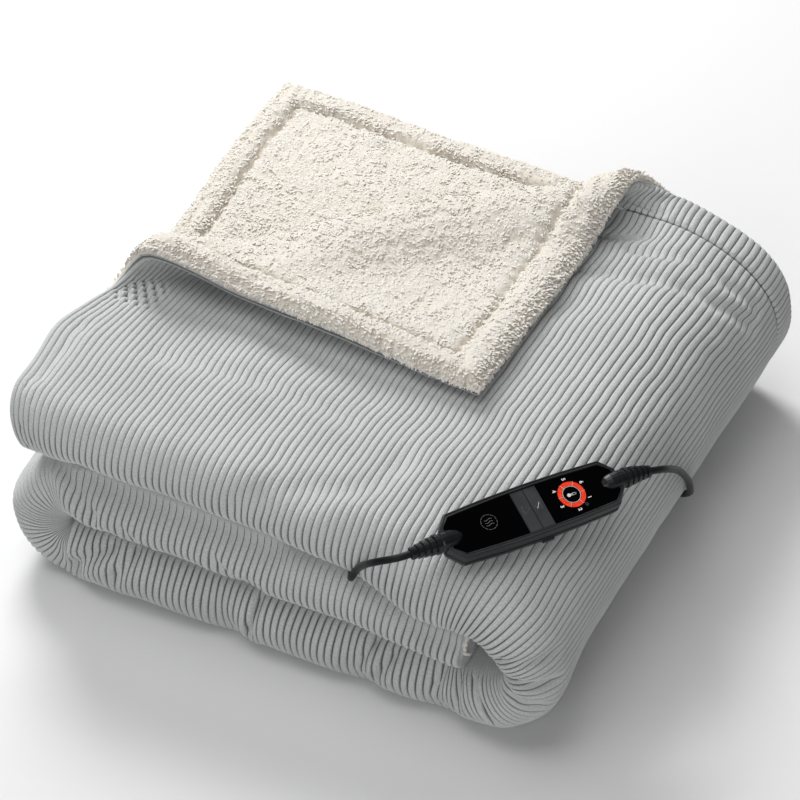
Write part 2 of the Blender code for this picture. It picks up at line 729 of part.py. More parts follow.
def slider_wall():
    """Where the housing's near wall is at the power slider, which leans in to its foot."""
    rise = (SLIDER_LEVEL + BOX_HEIGHT / 2) / BOX_SPLIT
    return -side_reach(SLIDER_X) + FOOT_INSET * (1 - rise)


def box(name, size):
    def build(shape):
        bmesh.ops.create_cube(shape, size=1.0, matrix=Matrix.Diagonal((*size, 1)))

    return solid_from(name, build)


def smooth_route(route, step):
    """Evenly spaced points of a smooth curve through the route's own points."""
    points = [Vector(point) for point in route]
    ends = [points[0] * 2 - points[1]] + points + [points[-1] * 2 - points[-2]]
    dense = []
    for before, start, end, after in zip(ends, ends[1:], ends[2:], ends[3:]):
        for share in np.linspace(0, 1, 24, endpoint=False):
            bend = (2 * before - 5 * start + 4 * end - after) * share
            curl = (3 * start - before - 3 * end + after) * share * share
            dense.append(start + (end - before + bend + curl) * share / 2)
    dense.append(points[-1])
    far = np.cumsum([0.0] + [(b - a).length for a, b in zip(dense, dense[1:])])
    count = max(2, round(far[-1] / step))
    marks = np.linspace(0, far[-1], count + 1)
    each = [np.interp(marks, far, [point[axis] for point in dense]) for axis in range(3)]
    return [Vector(place) for place in zip(*each)]


def lead(name, route):
    curve = bpy.data.curves.new(name, "CURVE")
    curve.dimensions = "3D"
    curve.bevel_depth = LEAD_DIAMETER / 2
    curve.bevel_resolution = 2
    curve.use_fill_caps = True
    spline = curve.splines.new("POLY")
    points = smooth_route(route, LEAD_STEP)
    spline.points.add(len(points) - 1)
    for slot, point in zip(spline.points, points):
        slot.co = (*point, 1)
    return bpy.data.objects.new(name, curve)


def make_leads(group):
    black = finish((0.025, 0.026, 0.028), 0.55, name="lead_rubber")
    for name, side, route in (
        ("lead_blanket", -1, BLANKET_LEAD_ROUTE),
        ("lead_mains", 1, MAINS_LEAD_ROUTE),
    ):
        start = lead_exit(side, 4 * CLEARANCE - BOOT_MOUTH_DEPTH)
        keep(lead(name, (start, lead_exit(side, 2 * CLEARANCE), *route)), group, black)
    half_wide = COIL_ROWS * COIL_TURN_STEP / 2
    tall = COIL_LAYERS * COIL_TURN_STEP
    corner = COIL_TURN_STEP / 2
    section = []
    for x, z, start in ((1, 1, 0), (-1, 1, 90), (-1, 0, 180), (1, 0, 270)):
        for turn in (0, 45, 90):
            angle = math.radians(start + turn)
            middle_z = tall - corner if z else corner
            section.append(
                (
                    COIL_RADIUS + x * (half_wide - corner) + corner * math.cos(angle),
                    middle_z + corner * math.sin(angle),
                )
            )

    def build(shape):
        points = [shape.verts.new((radius, 0, level)) for radius, level in section]
        edges = [shape.edges.new(pair) for pair in zip(points, points[1:] + points[:1])]
        bmesh.ops.spin(
            shape,
            geom=points + edges,
            cent=(0, 0, 0),
            axis=(0, 0, 1),
            angle=2 * math.pi,
            steps=28,
            use_merge=True,
        )

    coil = solid_from("mains_coil", build)
    coil.location = (*COIL_CENTRE, 0)
    keep(coil, group, black)


def make_plug(group):
    """The plug lies behind the pile, its collar beside the coil and its pins to the left."""
    black = finish((0.030, 0.031, 0.033), 0.5, name="plug_plastic")
    metal = finish((0.75, 0.74, 0.71), 0.3, 1.0, name="pin_metal")
    place = Matrix.Translation((*PLUG_START, PLUG_THICK / 2))
    place = place @ Matrix.Rotation(math.pi, 4, "Z")

    side = [(PLUG_COLLAR - 0.002 + x, y) for x, y in PLUG_OUTLINE]
    outline = side[::-1] + [(x, -y) for x, y in side]
    body = prism("plug_body", outline, -PLUG_THICK / 2, PLUG_THICK / 2)
    round_edges(body, 0.0022)
    body.matrix_world = place
    keep(body, group, black)
    thin, thick = PLUG_COLLAR_RADII
    end = PLUG_COLLAR - 0.002 - CLEARANCE
    collar = turned("plug_collar", [(0, 0), (0, thin), (end, thick), (end, 0)])
    collar.matrix_world = place
    keep(collar, group, black)
    for name, side in (("plug_pin_1", -1), ("plug_pin_2", 1)):
        start = PLUG_COLLAR - 0.002 + PLUG_OUTLINE[-1][0] + CLEARANCE
        tip = start + PIN_LENGTH
        half = PIN_SPACING / 2
        profile = [(start, 0), (start, PIN_RADIUS), (tip - 0.001, PIN_RADIUS)]
        pin = turned(name, profile + [(tip, PIN_RADIUS / 2), (tip, 0)], 12)
        pin.matrix_world = place @ Matrix.Translation((0, side * half, 0))
        keep(pin, group, metal)


def main():
    for obj in list(bpy.data.objects):
        bpy.data.objects.remove(obj)
    blanket = bpy.data.collections.new("heated_blanket")
    cutters = bpy.data.collections.new("cutters")
    bpy.context.scene.collection.children.link(blanket)
    bpy.context.scene.collection.children.link(cutters)
    make_cloths(blanket)
    make_controller(blanket, cutters)
    make_leads(blanket)
    make_plug(blanket)
    bpy.context.view_layer.update()
    for piece in list(blanket.objects) + list(cutters.objects):
        piece.matrix_world = Matrix.Translation(PILE_CENTRE) @ piece.matrix_world


main()
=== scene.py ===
# %% [markdown]
# # A folded electric blanket
#
# The real thing is two cloths sewn round their edges: a ribbed plush face and a curly fleece
# back, with a heating wire between them. It is folded into a thick pile, one corner is turned
# back to show the fleece, and a hand controller lies on top between its two leads. The packed
# solids are loaded first, because every piece made here takes its size and place from them.

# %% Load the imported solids
import math

import bpy
import numpy as np
from mathutils import Matrix, Vector


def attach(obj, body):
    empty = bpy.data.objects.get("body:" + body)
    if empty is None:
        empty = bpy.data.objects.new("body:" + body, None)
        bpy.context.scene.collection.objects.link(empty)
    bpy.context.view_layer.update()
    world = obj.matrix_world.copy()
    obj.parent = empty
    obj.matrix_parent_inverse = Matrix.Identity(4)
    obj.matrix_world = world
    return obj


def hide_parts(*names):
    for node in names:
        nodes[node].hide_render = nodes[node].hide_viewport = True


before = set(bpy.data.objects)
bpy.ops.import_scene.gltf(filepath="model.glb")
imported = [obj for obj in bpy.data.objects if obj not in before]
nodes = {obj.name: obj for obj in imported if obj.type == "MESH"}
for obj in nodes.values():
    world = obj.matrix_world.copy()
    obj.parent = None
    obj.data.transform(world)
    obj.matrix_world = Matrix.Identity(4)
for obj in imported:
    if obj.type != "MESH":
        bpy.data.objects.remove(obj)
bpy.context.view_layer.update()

# %% [markdown]
# ## Floor, light and camera
#
# The blanket lies on a plain pale floor. A hard light would draw the ribs with black lines, so
# all three lights are large and soft. The strongest stands behind on the left, models the folds
# and leaves the right bend in shade. One hangs nearly overhead, and a weak one fills the front.
# The camera looks down at the front from the right through a long lens, which keeps the ribs
# nearly parallel. The plain Standard view shows the colours as they are, without a film's
# softer contrast.


# %% Floor and soft light
LIGHTS = (
    # name, azimuth and elevation in degrees, distance, size, watts
    ("top_light", -50, 76, 2.4, 1.8, 25),
    ("key_light", -136, 43, 2.3, 0.9, 46),
    ("front_light", 20, 30, 2.6, 1.2, 16),
)
LIT_POINT = Vector((0.0, 0.0, 0.08))
SKY_STRENGTH = 0.10


def deselect_all():
    bpy.ops.object.select_all(action="DESELECT")


def look_from(azimuth, elevation):
    """Unit vector towards something seen at that azimuth and elevation, in degrees."""
    a, e = math.radians(azimuth), math.radians(elevation)
    return Vector((math.sin(a) * math.cos(e), -math.cos(a) * math.cos(e), math.sin(e)))


def turned_to(towards):
    """The turn of a light or camera that stands in that direction and looks back."""
    return towards.to_track_quat("Z", "Y").to_euler()


def plain(name, colour, roughness, others=()):
    """A new material with constant values on its shader; others are (socket, value)."""
    material = bpy.data.materials.new(name)
    material.use_nodes = True
    inputs = material.node_tree.nodes["Principled BSDF"].inputs
    inputs["Base Color"].default_value = (*colour, 1)
    inputs["Roughness"].default_value = roughness
    for socket, value in others:
        inputs[socket].default_value = value
    return material


deselect_all()
bpy.ops.mesh.primitive_plane_add(size=12, location=(0, 0, -0.0004))
floor = bpy.context.object
floor.name = "floor"
floor.data.materials.append(plain("pale_floor", (0.82, 0.82, 0.82), 0.7))

for name, azimuth, elevation, away, size, power in LIGHTS:
    towards = look_from(azimuth, elevation)
    bpy.ops.object.light_add(type="AREA", location=LIT_POINT + towards * away)
    light = bpy.context.object
    light.name = name
    light.data.size = size
    light.data.energy = power
    light.rotation_euler = turned_to(towards)

world = bpy.context.scene.world or bpy.data.worlds.new("studio")
bpy.context.scene.world = world
world.use_nodes = True
sky = world.node_tree.nodes["Background"]
sky.inputs["Color"].default_value = (1, 1, 1, 1)
sky.inputs["Strength"].default_value = SKY_STRENGTH
bpy.context.scene.view_settings.view_transform = "Standard"

# %% Camera
AIM = Vector((0.0005, -0.0039, 0.08))
TOWARDS_CAMERA, CAMERA_DISTANCE = look_from(27, 42), 2.65
SENSOR_MM, PICTURE_PIXELS, LENS_PIXELS = 36, 800, 3650

bpy.ops.object.camera_add(location=AIM + TOWARDS_CAMERA * CAMERA_DISTANCE)
camera = bpy.context.object
camera.rotation_euler = turned_to(TOWARDS_CAMERA)
camera.data.sensor_width = SENSOR_MM
camera.data.lens = LENS_PIXELS / PICTURE_PIXELS * SENSOR_MM
camera.data.clip_end = 60
bpy.context.scene.camera = camera
print("camera at", [round(c, 3) for c in camera.location])

# %% [markdown]
# ## Helpers for finishes
#
# Cloth patterns follow the cloth, so they read its own UV map, which is in metres. Moulded
# parts read Object coordinates, which are metres too. Each finish has its own colour
# variation, roughness and bump, because nothing real is one flat colour.


# %% Node helpers
def new_node(material, kind, links=(), **values):
    """A new node: values for its own sockets, and links as (its socket, what feeds it)."""
    made = material.node_tree.nodes.new(kind)
    for socket, value in values.items():
        made.inputs[socket].default_value = value
    for socket, source in links:
        material.node_tree.links.new(source, made.inputs[socket])
    return made


def pattern_space(material, uv=False, stretch=(1, 1, 1)):
    """Where a pattern is read: the piece's UV map in metres, or Object coordinates."""
    place = new_node(material, "ShaderNodeTexCoord").outputs["UV" if uv else "Object"]
    made = new_node(material, "ShaderNodeMapping", [("Vector", place)], Scale=stretch)
    return made.outputs["Vector"]


def noise(material, space, size, detail=2.0, roughness=0.5):
    """Soft random pattern whose blobs are about size metres."""
    made = new_node(material, "ShaderNodeTexNoise", [("Vector", space)],
                    Scale=1 / size, Detail=detail, Roughness=roughness)
    return made.outputs["Fac"]


def ramp(material, value, stops):
    """Colours or greys for values from 0 to 1: stops are (value, colour)."""
    made = new_node(material, "ShaderNodeValToRGB", [("Fac", value)])
    while len(made.color_ramp.elements) < len(stops):
        made.color_ramp.elements.new(0.5)
    for element, (at, colour) in zip(made.color_ramp.elements, stops):
        element.position = at
        grey = (colour,) * 3 if isinstance(colour, float) else colour
        element.color = (*grey, 1)
    return made.outputs["Color"]


def attribute(material, name):
    made = new_node(material, "ShaderNodeAttribute")
    made.attribute_name = name
    return made.outputs["Fac"]


def blend_colours(material, share, first, second):
    """The first colour, and as much of the second as the share says; first may be a link."""
    made = new_node(material, "ShaderNodeMix")
    made.data_type = "RGBA"
    for name, value in (("Factor", share), ("A", first), ("B", second)):
        wanted = "VALUE" if name == "Factor" else "RGBA"
        socket = next(s for s in made.inputs if s.name == name and s.type == wanted)
        if hasattr(value, "links"):
            material.node_tree.links.new(value, socket)
        else:
            socket.default_value = (*value, 1)
    return next(s for s in made.outputs if s.type == "RGBA")


def feed(material, name, value):
    """Links a value to a socket of the material's shader."""
    shader = material.node_tree.nodes["Principled BSDF"]
    material.node_tree.links.new(value, shader.inputs[name])


def vary(material, name, pattern, stops):
    """Feeds a socket of the shader with the colours or greys of a pattern."""
    feed(material, name, ramp(material, pattern, stops))


def bump(material, *layers):
    """Stacks bumps: each layer is (pattern, height in metres, strength)."""
    links = []
    for pattern, height, strength in layers:
        made = new_node(material, "ShaderNodeBump", [("Height", pattern)] + links,
                        Distance=height, Strength=strength)
        links = [("Normal", made.outputs["Normal"])]
    feed(material, "Normal", made.outputs["Normal"])


# %% [markdown]
# ## The two leads
#
# A thin black lead leaves each end of the controller through a ribbed boot. The left one loops
# down the front of the top fold and goes in between the folds, where the real one is plugged
# into the cloth. The right one hangs over the right bend, runs back along the floor and ends
# in a plug. Its length that nobody sees is wound into a neat coil behind the pile. A lead is a
# round tube on one smooth curve, so it is drawn as a curve with a round bevel.

# %% Lead routes
def in_metres(table):
    """A table in metres; long tables are written in millimetres, which are easier to read."""
    if isinstance(table, tuple):
        return tuple(in_metres(each) for each in table)
    return table / 1000


PILE_MIDDLE = Vector((-0.0005, 0.0051, 0.0))
LEAD_DIAMETER = 0.0052
BLANKET_LEAD = in_metres((
    (120.2, -222.7, 164.3), (114, -229.8, 163.7), (108.5, -233.1, 162.1),
    (102.6, -234.6, 159.4), (97.2, -234.4, 155.6), (92.6, -232.6, 151),
    (85.8, -226.9, 141.6), (79.7, -221.7, 132.5), (74.6, -218, 123.7),
    (69.8, -216.1, 113.4), (65.9, -209.5, 105.8), (62.5, -201, 103.4),
))
MAINS_LEAD = in_metres((
    (221, -72.6, 155.1), (225.8, -63.5, 151.4), (228.3, -53.5, 145),
    (228.8, -34, 128), (227, -15, 106.5), (224, 2.5, 84.5),
    (220.2, 16.5, 65), (214.5, 31, 46), (203.2, 46.5, 26.5),
    (191.5, 63, 11), (183, 84, 4.2), (179, 105, 3.2),
    (178, 150, 2.9), (174, 195, 2.9), (160, 224, 2.9),
    (130, 238, 2.9), (95, 241, 2.9), (60, 240, 2.9),
    (30, 238.5, 2.9), (3.5, 238, 2.9),
))
ON_FLOOR, COIL_TOP = 0.0029, 0.0083
TO_COIL = (-0.0105, 0.2380, ON_FLOOR)
TO_PLUG = ((-0.0220, 0.2380, COIL_TOP), (-0.0330, 0.2380, 0.0076), (-0.0455, 0.238, 0.00685))
COIL_CENTRE = (-0.020, 0.2774)
COIL_RADII = (0.0210, 0.0394)
COIL_TURNS, COIL_CLIMB, TURN_POINTS = 7, 0.0055, 30


def smooth_route(route, step):
    """Evenly spaced points of a smooth curve through the route's own points."""
    points = [Vector(point) for point in route]
    ends = [points[0] * 2 - points[1]] + points + [points[-1] * 2 - points[-2]]
    dense = []
    for before, start, end, after in zip(ends, ends[1:], ends[2:], ends[3:]):
        for share in np.linspace(0, 1, 24, endpoint=False):
            bend = (2 * before - 5 * start + 4 * end - after) * share
            curl = (3 * start - before - 3 * end + after) * share * share
            dense.append(start + (end - before + bend + curl) * share / 2)
    dense.append(points[-1])
    far = np.cumsum([0.0] + [(b - a).length for a, b in zip(dense, dense[1:])])
    marks = np.linspace(0, far[-1], max(2, round(far[-1] / step)) + 1)
    each = [np.interp(marks, far, [point[axis] for point in dense]) for axis in range(3)]
    return [Vector(place) for place in zip(*each)]


def ease(value, low, high):
    """0 below low, 1 above high, and a smooth ramp between them."""
    share = np.clip((value - low) / (high - low), 0, 1)
    return share * share * (3 - 2 * share)


def between(value, start, full, fade, end):
    """1 from full to fade, and a smooth ramp down to 0 on each side."""
    return ease(value, start, full) * (1 - ease(value, fade, end))


def bell(value, width, power=2):
    """1 at 0, fading to 0 on both sides beyond about that width."""
    return np.exp(-((value / width) ** power))


def coil_points():
    """Turns that spiral in on the floor, climb one diameter and spiral out on top."""
    inner, outer = COIL_RADII
    half = COIL_TURNS / 2
    points = []
    for turn in np.linspace(0, COIL_TURNS, COIL_TURNS * TURN_POINTS + 1):
        inwards = min(turn / half, 1)
        outwards = max(0, (turn - half - 0.15) / (half - 0.15))
        radius = outer + (inner - outer) * inwards + (outer - inner) * outwards
        level = ON_FLOOR + COIL_CLIMB * ease(turn, half - 0.2, half + 0.15)
        angle = -math.pi / 2 - 2 * math.pi * turn
        place = (radius * math.cos(angle), radius * math.sin(angle), level)
        points.append(Vector((*COIL_CENTRE, 0)) + Vector(place))
    return points


def round_curve(name, points, width, roundness, closed=False):
    """A round line through points, as a curve with a round bevel."""
    curve = bpy.data.curves.new(name, "CURVE")
    curve.dimensions = "3D"
    curve.bevel_depth = width / 2
    curve.bevel_resolution = roundness
    curve.use_fill_caps = True
    spline = curve.splines.new("POLY")
    spline.points.add(len(points) - 1)
    for place, point in zip(spline.points, points):
        place.co = (*point, 1)
    spline.use_cyclic_u = closed
    made = bpy.data.objects.new(name, curve)
    bpy.context.scene.collection.objects.link(made)
    return made


def draw_lead(name, points):
    lead = round_curve(name, [point + PILE_MIDDLE for point in points], LEAD_DIAMETER, 4)
    length = sum((b - a).length for a, b in zip(points, points[1:]))
    print(name, "length", round(length, 3), "points", len(points))
    return lead, length


blanket_route = smooth_route(BLANKET_LEAD, 0.004)
to_coil = smooth_route(MAINS_LEAD + (TO_COIL,), 0.006)
mains_route = to_coil + coil_points() + smooth_route(TO_PLUG, 0.004)

blanket_lead, blanket_length = draw_lead("lead_to_blanket", blanket_route)
mains_lead, mains_length = draw_lead("lead_to_mains", mains_route)

# %% Lead finish
lead_black = plain("lead_sheath", (0.022, 0.023, 0.025), 0.42, [("Specular IOR Level", 0.10)])
space = pattern_space(lead_black)
fine = noise(lead_black, space, 0.0007, 3)
vary(lead_black, "Roughness", fine, ((0.3, 0.28), (0.7, 0.42)))
worn = noise(lead_black, space, 0.03, 2)
vary(lead_black, "Base Color", worn, ((0.3, (0.008, 0.0085, 0.010)), (0.7, (0.014, 0.015, 0.017))))
bump(lead_black, (fine, 0.0002, 0.25))
for lead, stands_for in (
    (blanket_lead, ("lead_blanket",)),
    (mains_lead, ("lead_mains", "mains_coil")),
):
    lead.data.materials.append(lead_black)
    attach(lead, "blanket")
    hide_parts(*stands_for)

# %% [markdown]
# ## How the cloth is folded
#
# A point of the cloth is known by u, the distance across the ribs, and v, the distance along
# them. The cloth is folded in half twice along the ribs' middle, and that long strip is then
# folded in three. The same short sums that shape the solids are used here, so both cloths lie
# exactly where the solids are. They work on whole arrays of points, because there are many.

# %% Sizes of the fold
PILE_WIDTH, PILE_DEPTH = 0.432, 0.430
PLUSH, FLEECE, SEAM_GAP, LAYER_GAP = 0.0038, 0.0082, 0.0003, 0.0008
PACK_GAP_LOW, PACK_GAP_HIGH = 0.003, 0.002
HEM_STANDOFF, TOP_SETBACK, INNER_END = 0.002, 0.004, 0.014
RIB_PITCH, RIB_HEIGHT = 0.0053, 0.0020
FLAP_ALONG_BACK, FLAP_ALONG_SIDE, FLAP_SKEW = 0.340, 0.303, 0.225
ROLL_RADIUS, FLAP_REST_GAP, FLAP_SETTLE, FLAP_LIFT = 0.0145, 0.0035, 0.060, 0.013
HOLLOW_DIP, ARCH_LIFT = 0.0030, 0.0110
WRAP_SQUEEZE, WRAP_SQUARE = 0.32, 0.045

CLOTH = PLUSH + SEAM_GAP + FLEECE
LAYER_PITCH = CLOTH + LAYER_GAP
PACK = 3 * LAYER_PITCH + CLOTH
LEFT, FRONT, BACK = -PILE_WIDTH / 2, -PILE_DEPTH / 2, PILE_DEPTH / 2
TOP_END = LEFT + TOP_SETBACK
LAYER_1, LAYER_4 = PACK - CLOTH / 2, CLOTH / 2
LAYER_3 = LAYER_4 + LAYER_PITCH
LAYER_2 = LAYER_3 + LAYER_PITCH
BEND_BIG, BEND_SMALL = 1.5 * LAYER_PITCH, 0.5 * LAYER_PITCH
BEND_FRONT_Y = FRONT + PACK / 2
BEND_BACK_Y = BACK - HEM_STANDOFF - BEND_SMALL - CLOTH / 2
LOW_TOP = PACK
MIDDLE_BOTTOM = PACK + PACK_GAP_LOW
HIGH_BOTTOM = MIDDLE_BOTTOM + PACK + PACK_GAP_HIGH
WRAP_LEFT, WRAP_RIGHT = PACK_GAP_LOW / 2, (HIGH_BOTTOM - LOW_TOP) / 2
WRAP_LEFT_X = LEFT + WRAP_LEFT + PACK
WRAP_RIGHT_X = LEFT + PILE_WIDTH - WRAP_RIGHT - PACK
LONG, SHORT = BACK - BEND_FRONT_Y, BEND_BACK_Y - BEND_FRONT_Y
V_STOPS = np.cumsum(
    [0, LONG, math.pi * BEND_BIG, SHORT, math.pi * BEND_SMALL, SHORT, math.pi * BEND_SMALL, LONG]
)
U_STOPS = np.cumsum(
    [0, WRAP_RIGHT_X - TOP_END, math.pi * (WRAP_RIGHT + LAYER_1), WRAP_RIGHT_X - WRAP_LEFT_X,
     math.pi * (WRAP_LEFT + LAYER_1), WRAP_RIGHT_X + INNER_END - WRAP_LEFT_X]
)
CUT_LENGTH, CUT_WIDTH = float(V_STOPS[-1]), float(U_STOPS[-1])
FLAP_SCALE = 1 / math.hypot(1 / FLAP_ALONG_BACK, 1 / FLAP_ALONG_SIDE)
print("cloth cut to", round(CUT_WIDTH, 3), "x", round(CUT_LENGTH, 3), "m")

# %% Soft dents of the pile
# Each dent is a line between two points, measured in millimetres from the pile's front left
# corner on the floor, then how far the cloth moves there and how wide the dent is.
DENTS = in_metres((
    ((-20, 270, 170), (70, 245, 170), (0, 0, -19), 55),
    ((150, 440, 160), (270, 440, 160), (0, 0, -6), 60),
    ((360, 440, 160), (440, 400, 160), (0, 0, -12), 80),
    ((-10, 0, 120), (-10, 40, 130), (20, 4, -2), 45),
    ((-10, 45, 150), (-10, 75, 150), (-9, 0, 0), 50),
    ((-10, 150, 170), (-10, 190, 170), (17, 0, 0), 46),
    ((320, 430, 180), (335, 430, 180), (0, 0, 13), 35),
    ((160, 145, 160), (300, 120, 160), (0, 0, -3), 20),
    ((215, 30, 150), (315, 10, 140), (0, 6, -4), 20),
    ((340, -5, 112), (395, 0, 112), (0, -9, -11), 36),
    ((30, -10, 90), (45, 0, 60), (4, 6, 0), 14),
    ((20, -10, 45), (50, 0, 20), (3, 6, 0), 14),
    ((165, -10, 45), (185, 0, 15), (0, 6, 0), 13),
    ((275, -10, 45), (290, 0, 15), (0, 5.5, 0), 13),
    ((335, -10, 50), (350, 0, 15), (0, 7, 0), 15),
    ((400, 10, 30), (430, 30, 40), (7, -7, 0), 30),
    ((350, 0, 165), (440, 60, 165), (0, 3, -11), 60),
    # grooves between the three thick folds
    ((70, -4, 102), (215, -4, 100), (0, 16, 0), 15),
    ((335, -4, 94), (370, -4, 94), (0, 10, 0), 13),
    ((60, -4, 52), (180, -4, 52), (0, 7, 0), 10),
    ((240, -4, 52), (360, -4, 52), (0, 7, 0), 10),
))
SAG, WAVE_HEIGHT = 0.035, 0.010


def press(points):
    """Gives the square pile its soft unevenness, for an array of points."""
    moved = points.copy()
    off_floor = ease(points[:, 2], 0, 0.030)
    freedom = np.stack([np.ones_like(off_floor), np.ones_like(off_floor), off_floor], axis=1)
    for start, end, push, width in DENTS:
        line = np.array(end) - np.array(start)
        away = points - (np.array(start) + (LEFT, FRONT, 0))
        share = np.clip(away @ line / (line @ line), 0, 1)
        gap = np.linalg.norm(away - share[:, None] * line, axis=1)
        moved += bell(gap, width)[:, None] * np.array(push) * freedom
    across = (points[:, 0] - LEFT) / PILE_WIDTH
    wave = np.sin(2.2 * math.pi * across + 0.6) * np.cos(2.6 * points[:, 1] / PILE_DEPTH)
    moved[:, 2] *= 1.0 - SAG * ease(across, 0.35, 1.0) + WAVE_HEIGHT * wave
    return moved


# %% The fold's own sums
def fold_section(v):
    """y and height in the fold of the cloth's middle, and the direction of its ribbed side."""
    s = V_STOPS
    big = (v - s[1]) / BEND_BIG
    back = (v - s[3]) / BEND_SMALL
    front = (v - s[5]) / BEND_SMALL
    flat = np.zeros_like(v)
    places = [v <= stop for stop in s[1:7]]
    y = np.select(places, [
        BACK - v, BEND_FRONT_Y - BEND_BIG * np.sin(big), BEND_FRONT_Y + v - s[2],
        BEND_BACK_Y + BEND_SMALL * np.sin(back), BEND_BACK_Y - (v - s[4]),
        BEND_FRONT_Y - BEND_SMALL * np.sin(front),
    ], BEND_FRONT_Y + v - s[6])
    rise = np.select(places, [
        flat + LAYER_1, LAYER_4 + BEND_BIG * (1 + np.cos(big)), flat + LAYER_4,
        LAYER_4 + BEND_SMALL * (1 - np.cos(back)), flat + LAYER_3,
        LAYER_3 + BEND_SMALL * (1 - np.cos(front)),
    ], LAYER_2)
    out_y = np.select(places, [flat, -np.sin(big), flat, np.sin(back), flat, np.sin(front)], 0.0)
    out_rise = np.select(
        places, [flat + 1, np.cos(big), flat - 1, -np.cos(back), flat + 1, np.cos(front)], -1.0
    )
    return y, rise, out_y, out_rise


def strip_point(u, rise):
    """x and z of points of the strip, rise above its inner side."""
    s = U_STOPS
    right = (u - s[1]) / (WRAP_RIGHT + LAYER_1)
    tight = 1 - WRAP_SQUEEZE * np.sin(right) ** 2
    square = 1 + WRAP_SQUARE * np.sin(2 * right) ** 2 * (np.cos(right) > 0)
    reach = (WRAP_RIGHT + PACK) * square - tight * (PACK - rise)
    left = (u - s[3]) / (WRAP_LEFT + LAYER_1)
    near = WRAP_LEFT + rise
    places = [u <= stop for stop in s[1:5]]
    x = np.select(places, [
        TOP_END + u, WRAP_RIGHT_X + reach * np.sin(right), WRAP_RIGHT_X - (u - s[2]),
        WRAP_LEFT_X - near * np.sin(left),
    ], WRAP_LEFT_X + (u - s[4]))
    z = np.select(places, [
        HIGH_BOTTOM + rise, LOW_TOP + WRAP_RIGHT + reach * np.cos(right), LOW_TOP - rise,
        LOW_TOP + WRAP_LEFT - near * np.cos(left),
    ], MIDDLE_BOTTOM + rise)
    return x, z


def beyond_flap_line(u, v):
    """How far points lie past the line about which the corner turns back."""
    return (1 - u / FLAP_ALONG_BACK - v / FLAP_ALONG_SIDE) * FLAP_SCALE


def turn_back(u, v, offset):
    """Points of the corner: it rolls over and lies on the pile, fleece up."""
    past = beyond_flap_line(u, v)[:, None]
    out = np.array([[-1 / FLAP_ALONG_BACK, 1 / FLAP_ALONG_SIDE, 0]]) * FLAP_SCALE
    along = np.array([[1 / FLAP_ALONG_SIDE, 1 / FLAP_ALONG_BACK, 0]]) * FLAP_SCALE
    up = np.array([[0.0, 0.0, 1.0]])
    level = np.full_like(u, HIGH_BOTTOM + LAYER_1)
    start = np.stack([TOP_END + u, BACK - v, level], axis=1) - out * past
    angle = np.minimum(past / ROLL_RADIUS, math.pi)
    place = start + out * ROLL_RADIUS * np.sin(angle) + up * ROLL_RADIUS * (1 - np.cos(angle))
    normal = up * np.cos(angle) - out * np.sin(angle)
    left = np.maximum(past - math.pi * ROLL_RADIUS, 0)
    settled = CLOTH + RIB_HEIGHT + FLAP_REST_GAP - 2 * ROLL_RADIUS
    place = place + (along * FLAP_SKEW - out) * left + up * settled * ease(left, 0, FLAP_SETTLE)
    edge = bell(u, 0.060) * bell(v - 0.130, 0.070)
    place = place + up * FLAP_LIFT * edge[:, None] * ease(left, 0, 0.040)
    arch = bell(u, 0.050) * bell(v - 0.222, 0.042)
    place = place + up * ARCH_LIFT * arch[:, None] * ease(past, 0.010, 0.050)
    hollow = between(left, 0.018, 0.055, 0.075, 0.130)
    place = place - up * HOLLOW_DIP * (hollow * (1 - ease(v, 0.11, 0.20))[:, None])
    return place + normal * offset[:, None]


def cloth_place(u, v, depth):
    """Places in the pile of points of the cloth, depth below its ribbed side."""
    offset = CLOTH / 2 - depth
    y, rise, out_y, out_rise = fold_section(v)
    x, z = strip_point(u, rise + offset * out_rise)
    places = np.stack([x, y + offset * out_y, z], axis=1)
    turned = (v < V_STOPS[1]) & (beyond_flap_line(u, v) > 0)
    places[turned] = turn_back(u[turned], v[turned], offset[turned])
    return press(places) + np.array(PILE_MIDDLE)


# %% [markdown]
# ## A net of points that is fine only where it shows
#
# Ribs need a point every millimetre across them, but most of the cloth is hidden inside the
# folds. So each row of the flat cloth gets its own list of points, dense where it shows and
# sparse elsewhere, and the strip between two rows is filled with faces by walking along both
# lists at once. Rows with equal points give clean quads. The same walk joins the rims of the
# cloth's two sides.


# %% Nets
SAME_PLACE = 1e-7


def stitch(low, high):
    """Faces between two lines of points; a line is a list of (how far along it, point)."""
    faces = []
    i = k = 0
    while i < len(low) - 1 or k < len(high) - 1:
        next_low = low[i + 1][0] if i < len(low) - 1 else math.inf
        next_high = high[k + 1][0] if k < len(high) - 1 else math.inf
        if abs(next_low - next_high) < SAME_PLACE:
            faces.append((low[i][1], low[i + 1][1], high[k + 1][1], high[k][1]))
            i, k = i + 1, k + 1
        elif next_low < next_high:
            faces.append((low[i][1], low[i + 1][1], high[k][1]))
            i += 1
        else:
            faces.append((low[i][1], high[k + 1][1], high[k][1]))
            k += 1
    return faces


def flat_net(rows, columns_of):
    """Points (u, v), faces and border of the flat cloth; each row has its own columns."""
    points, faces, lines = [], [], []
    for v in rows:
        columns = columns_of(v)
        lines.append([(u, len(points) + i) for i, u in enumerate(columns)])
        points += [(u, v) for u in columns]
    for below, above in zip(lines, lines[1:]):
        faces += stitch(below, above)
    border = [point for u, point in lines[0]] + [line[-1][1] for line in lines[1:-1]]
    border += [point for u, point in lines[-1][::-1]] + [line[0][1] for line in lines[-2:0:-1]]
    return np.array(points), faces, border


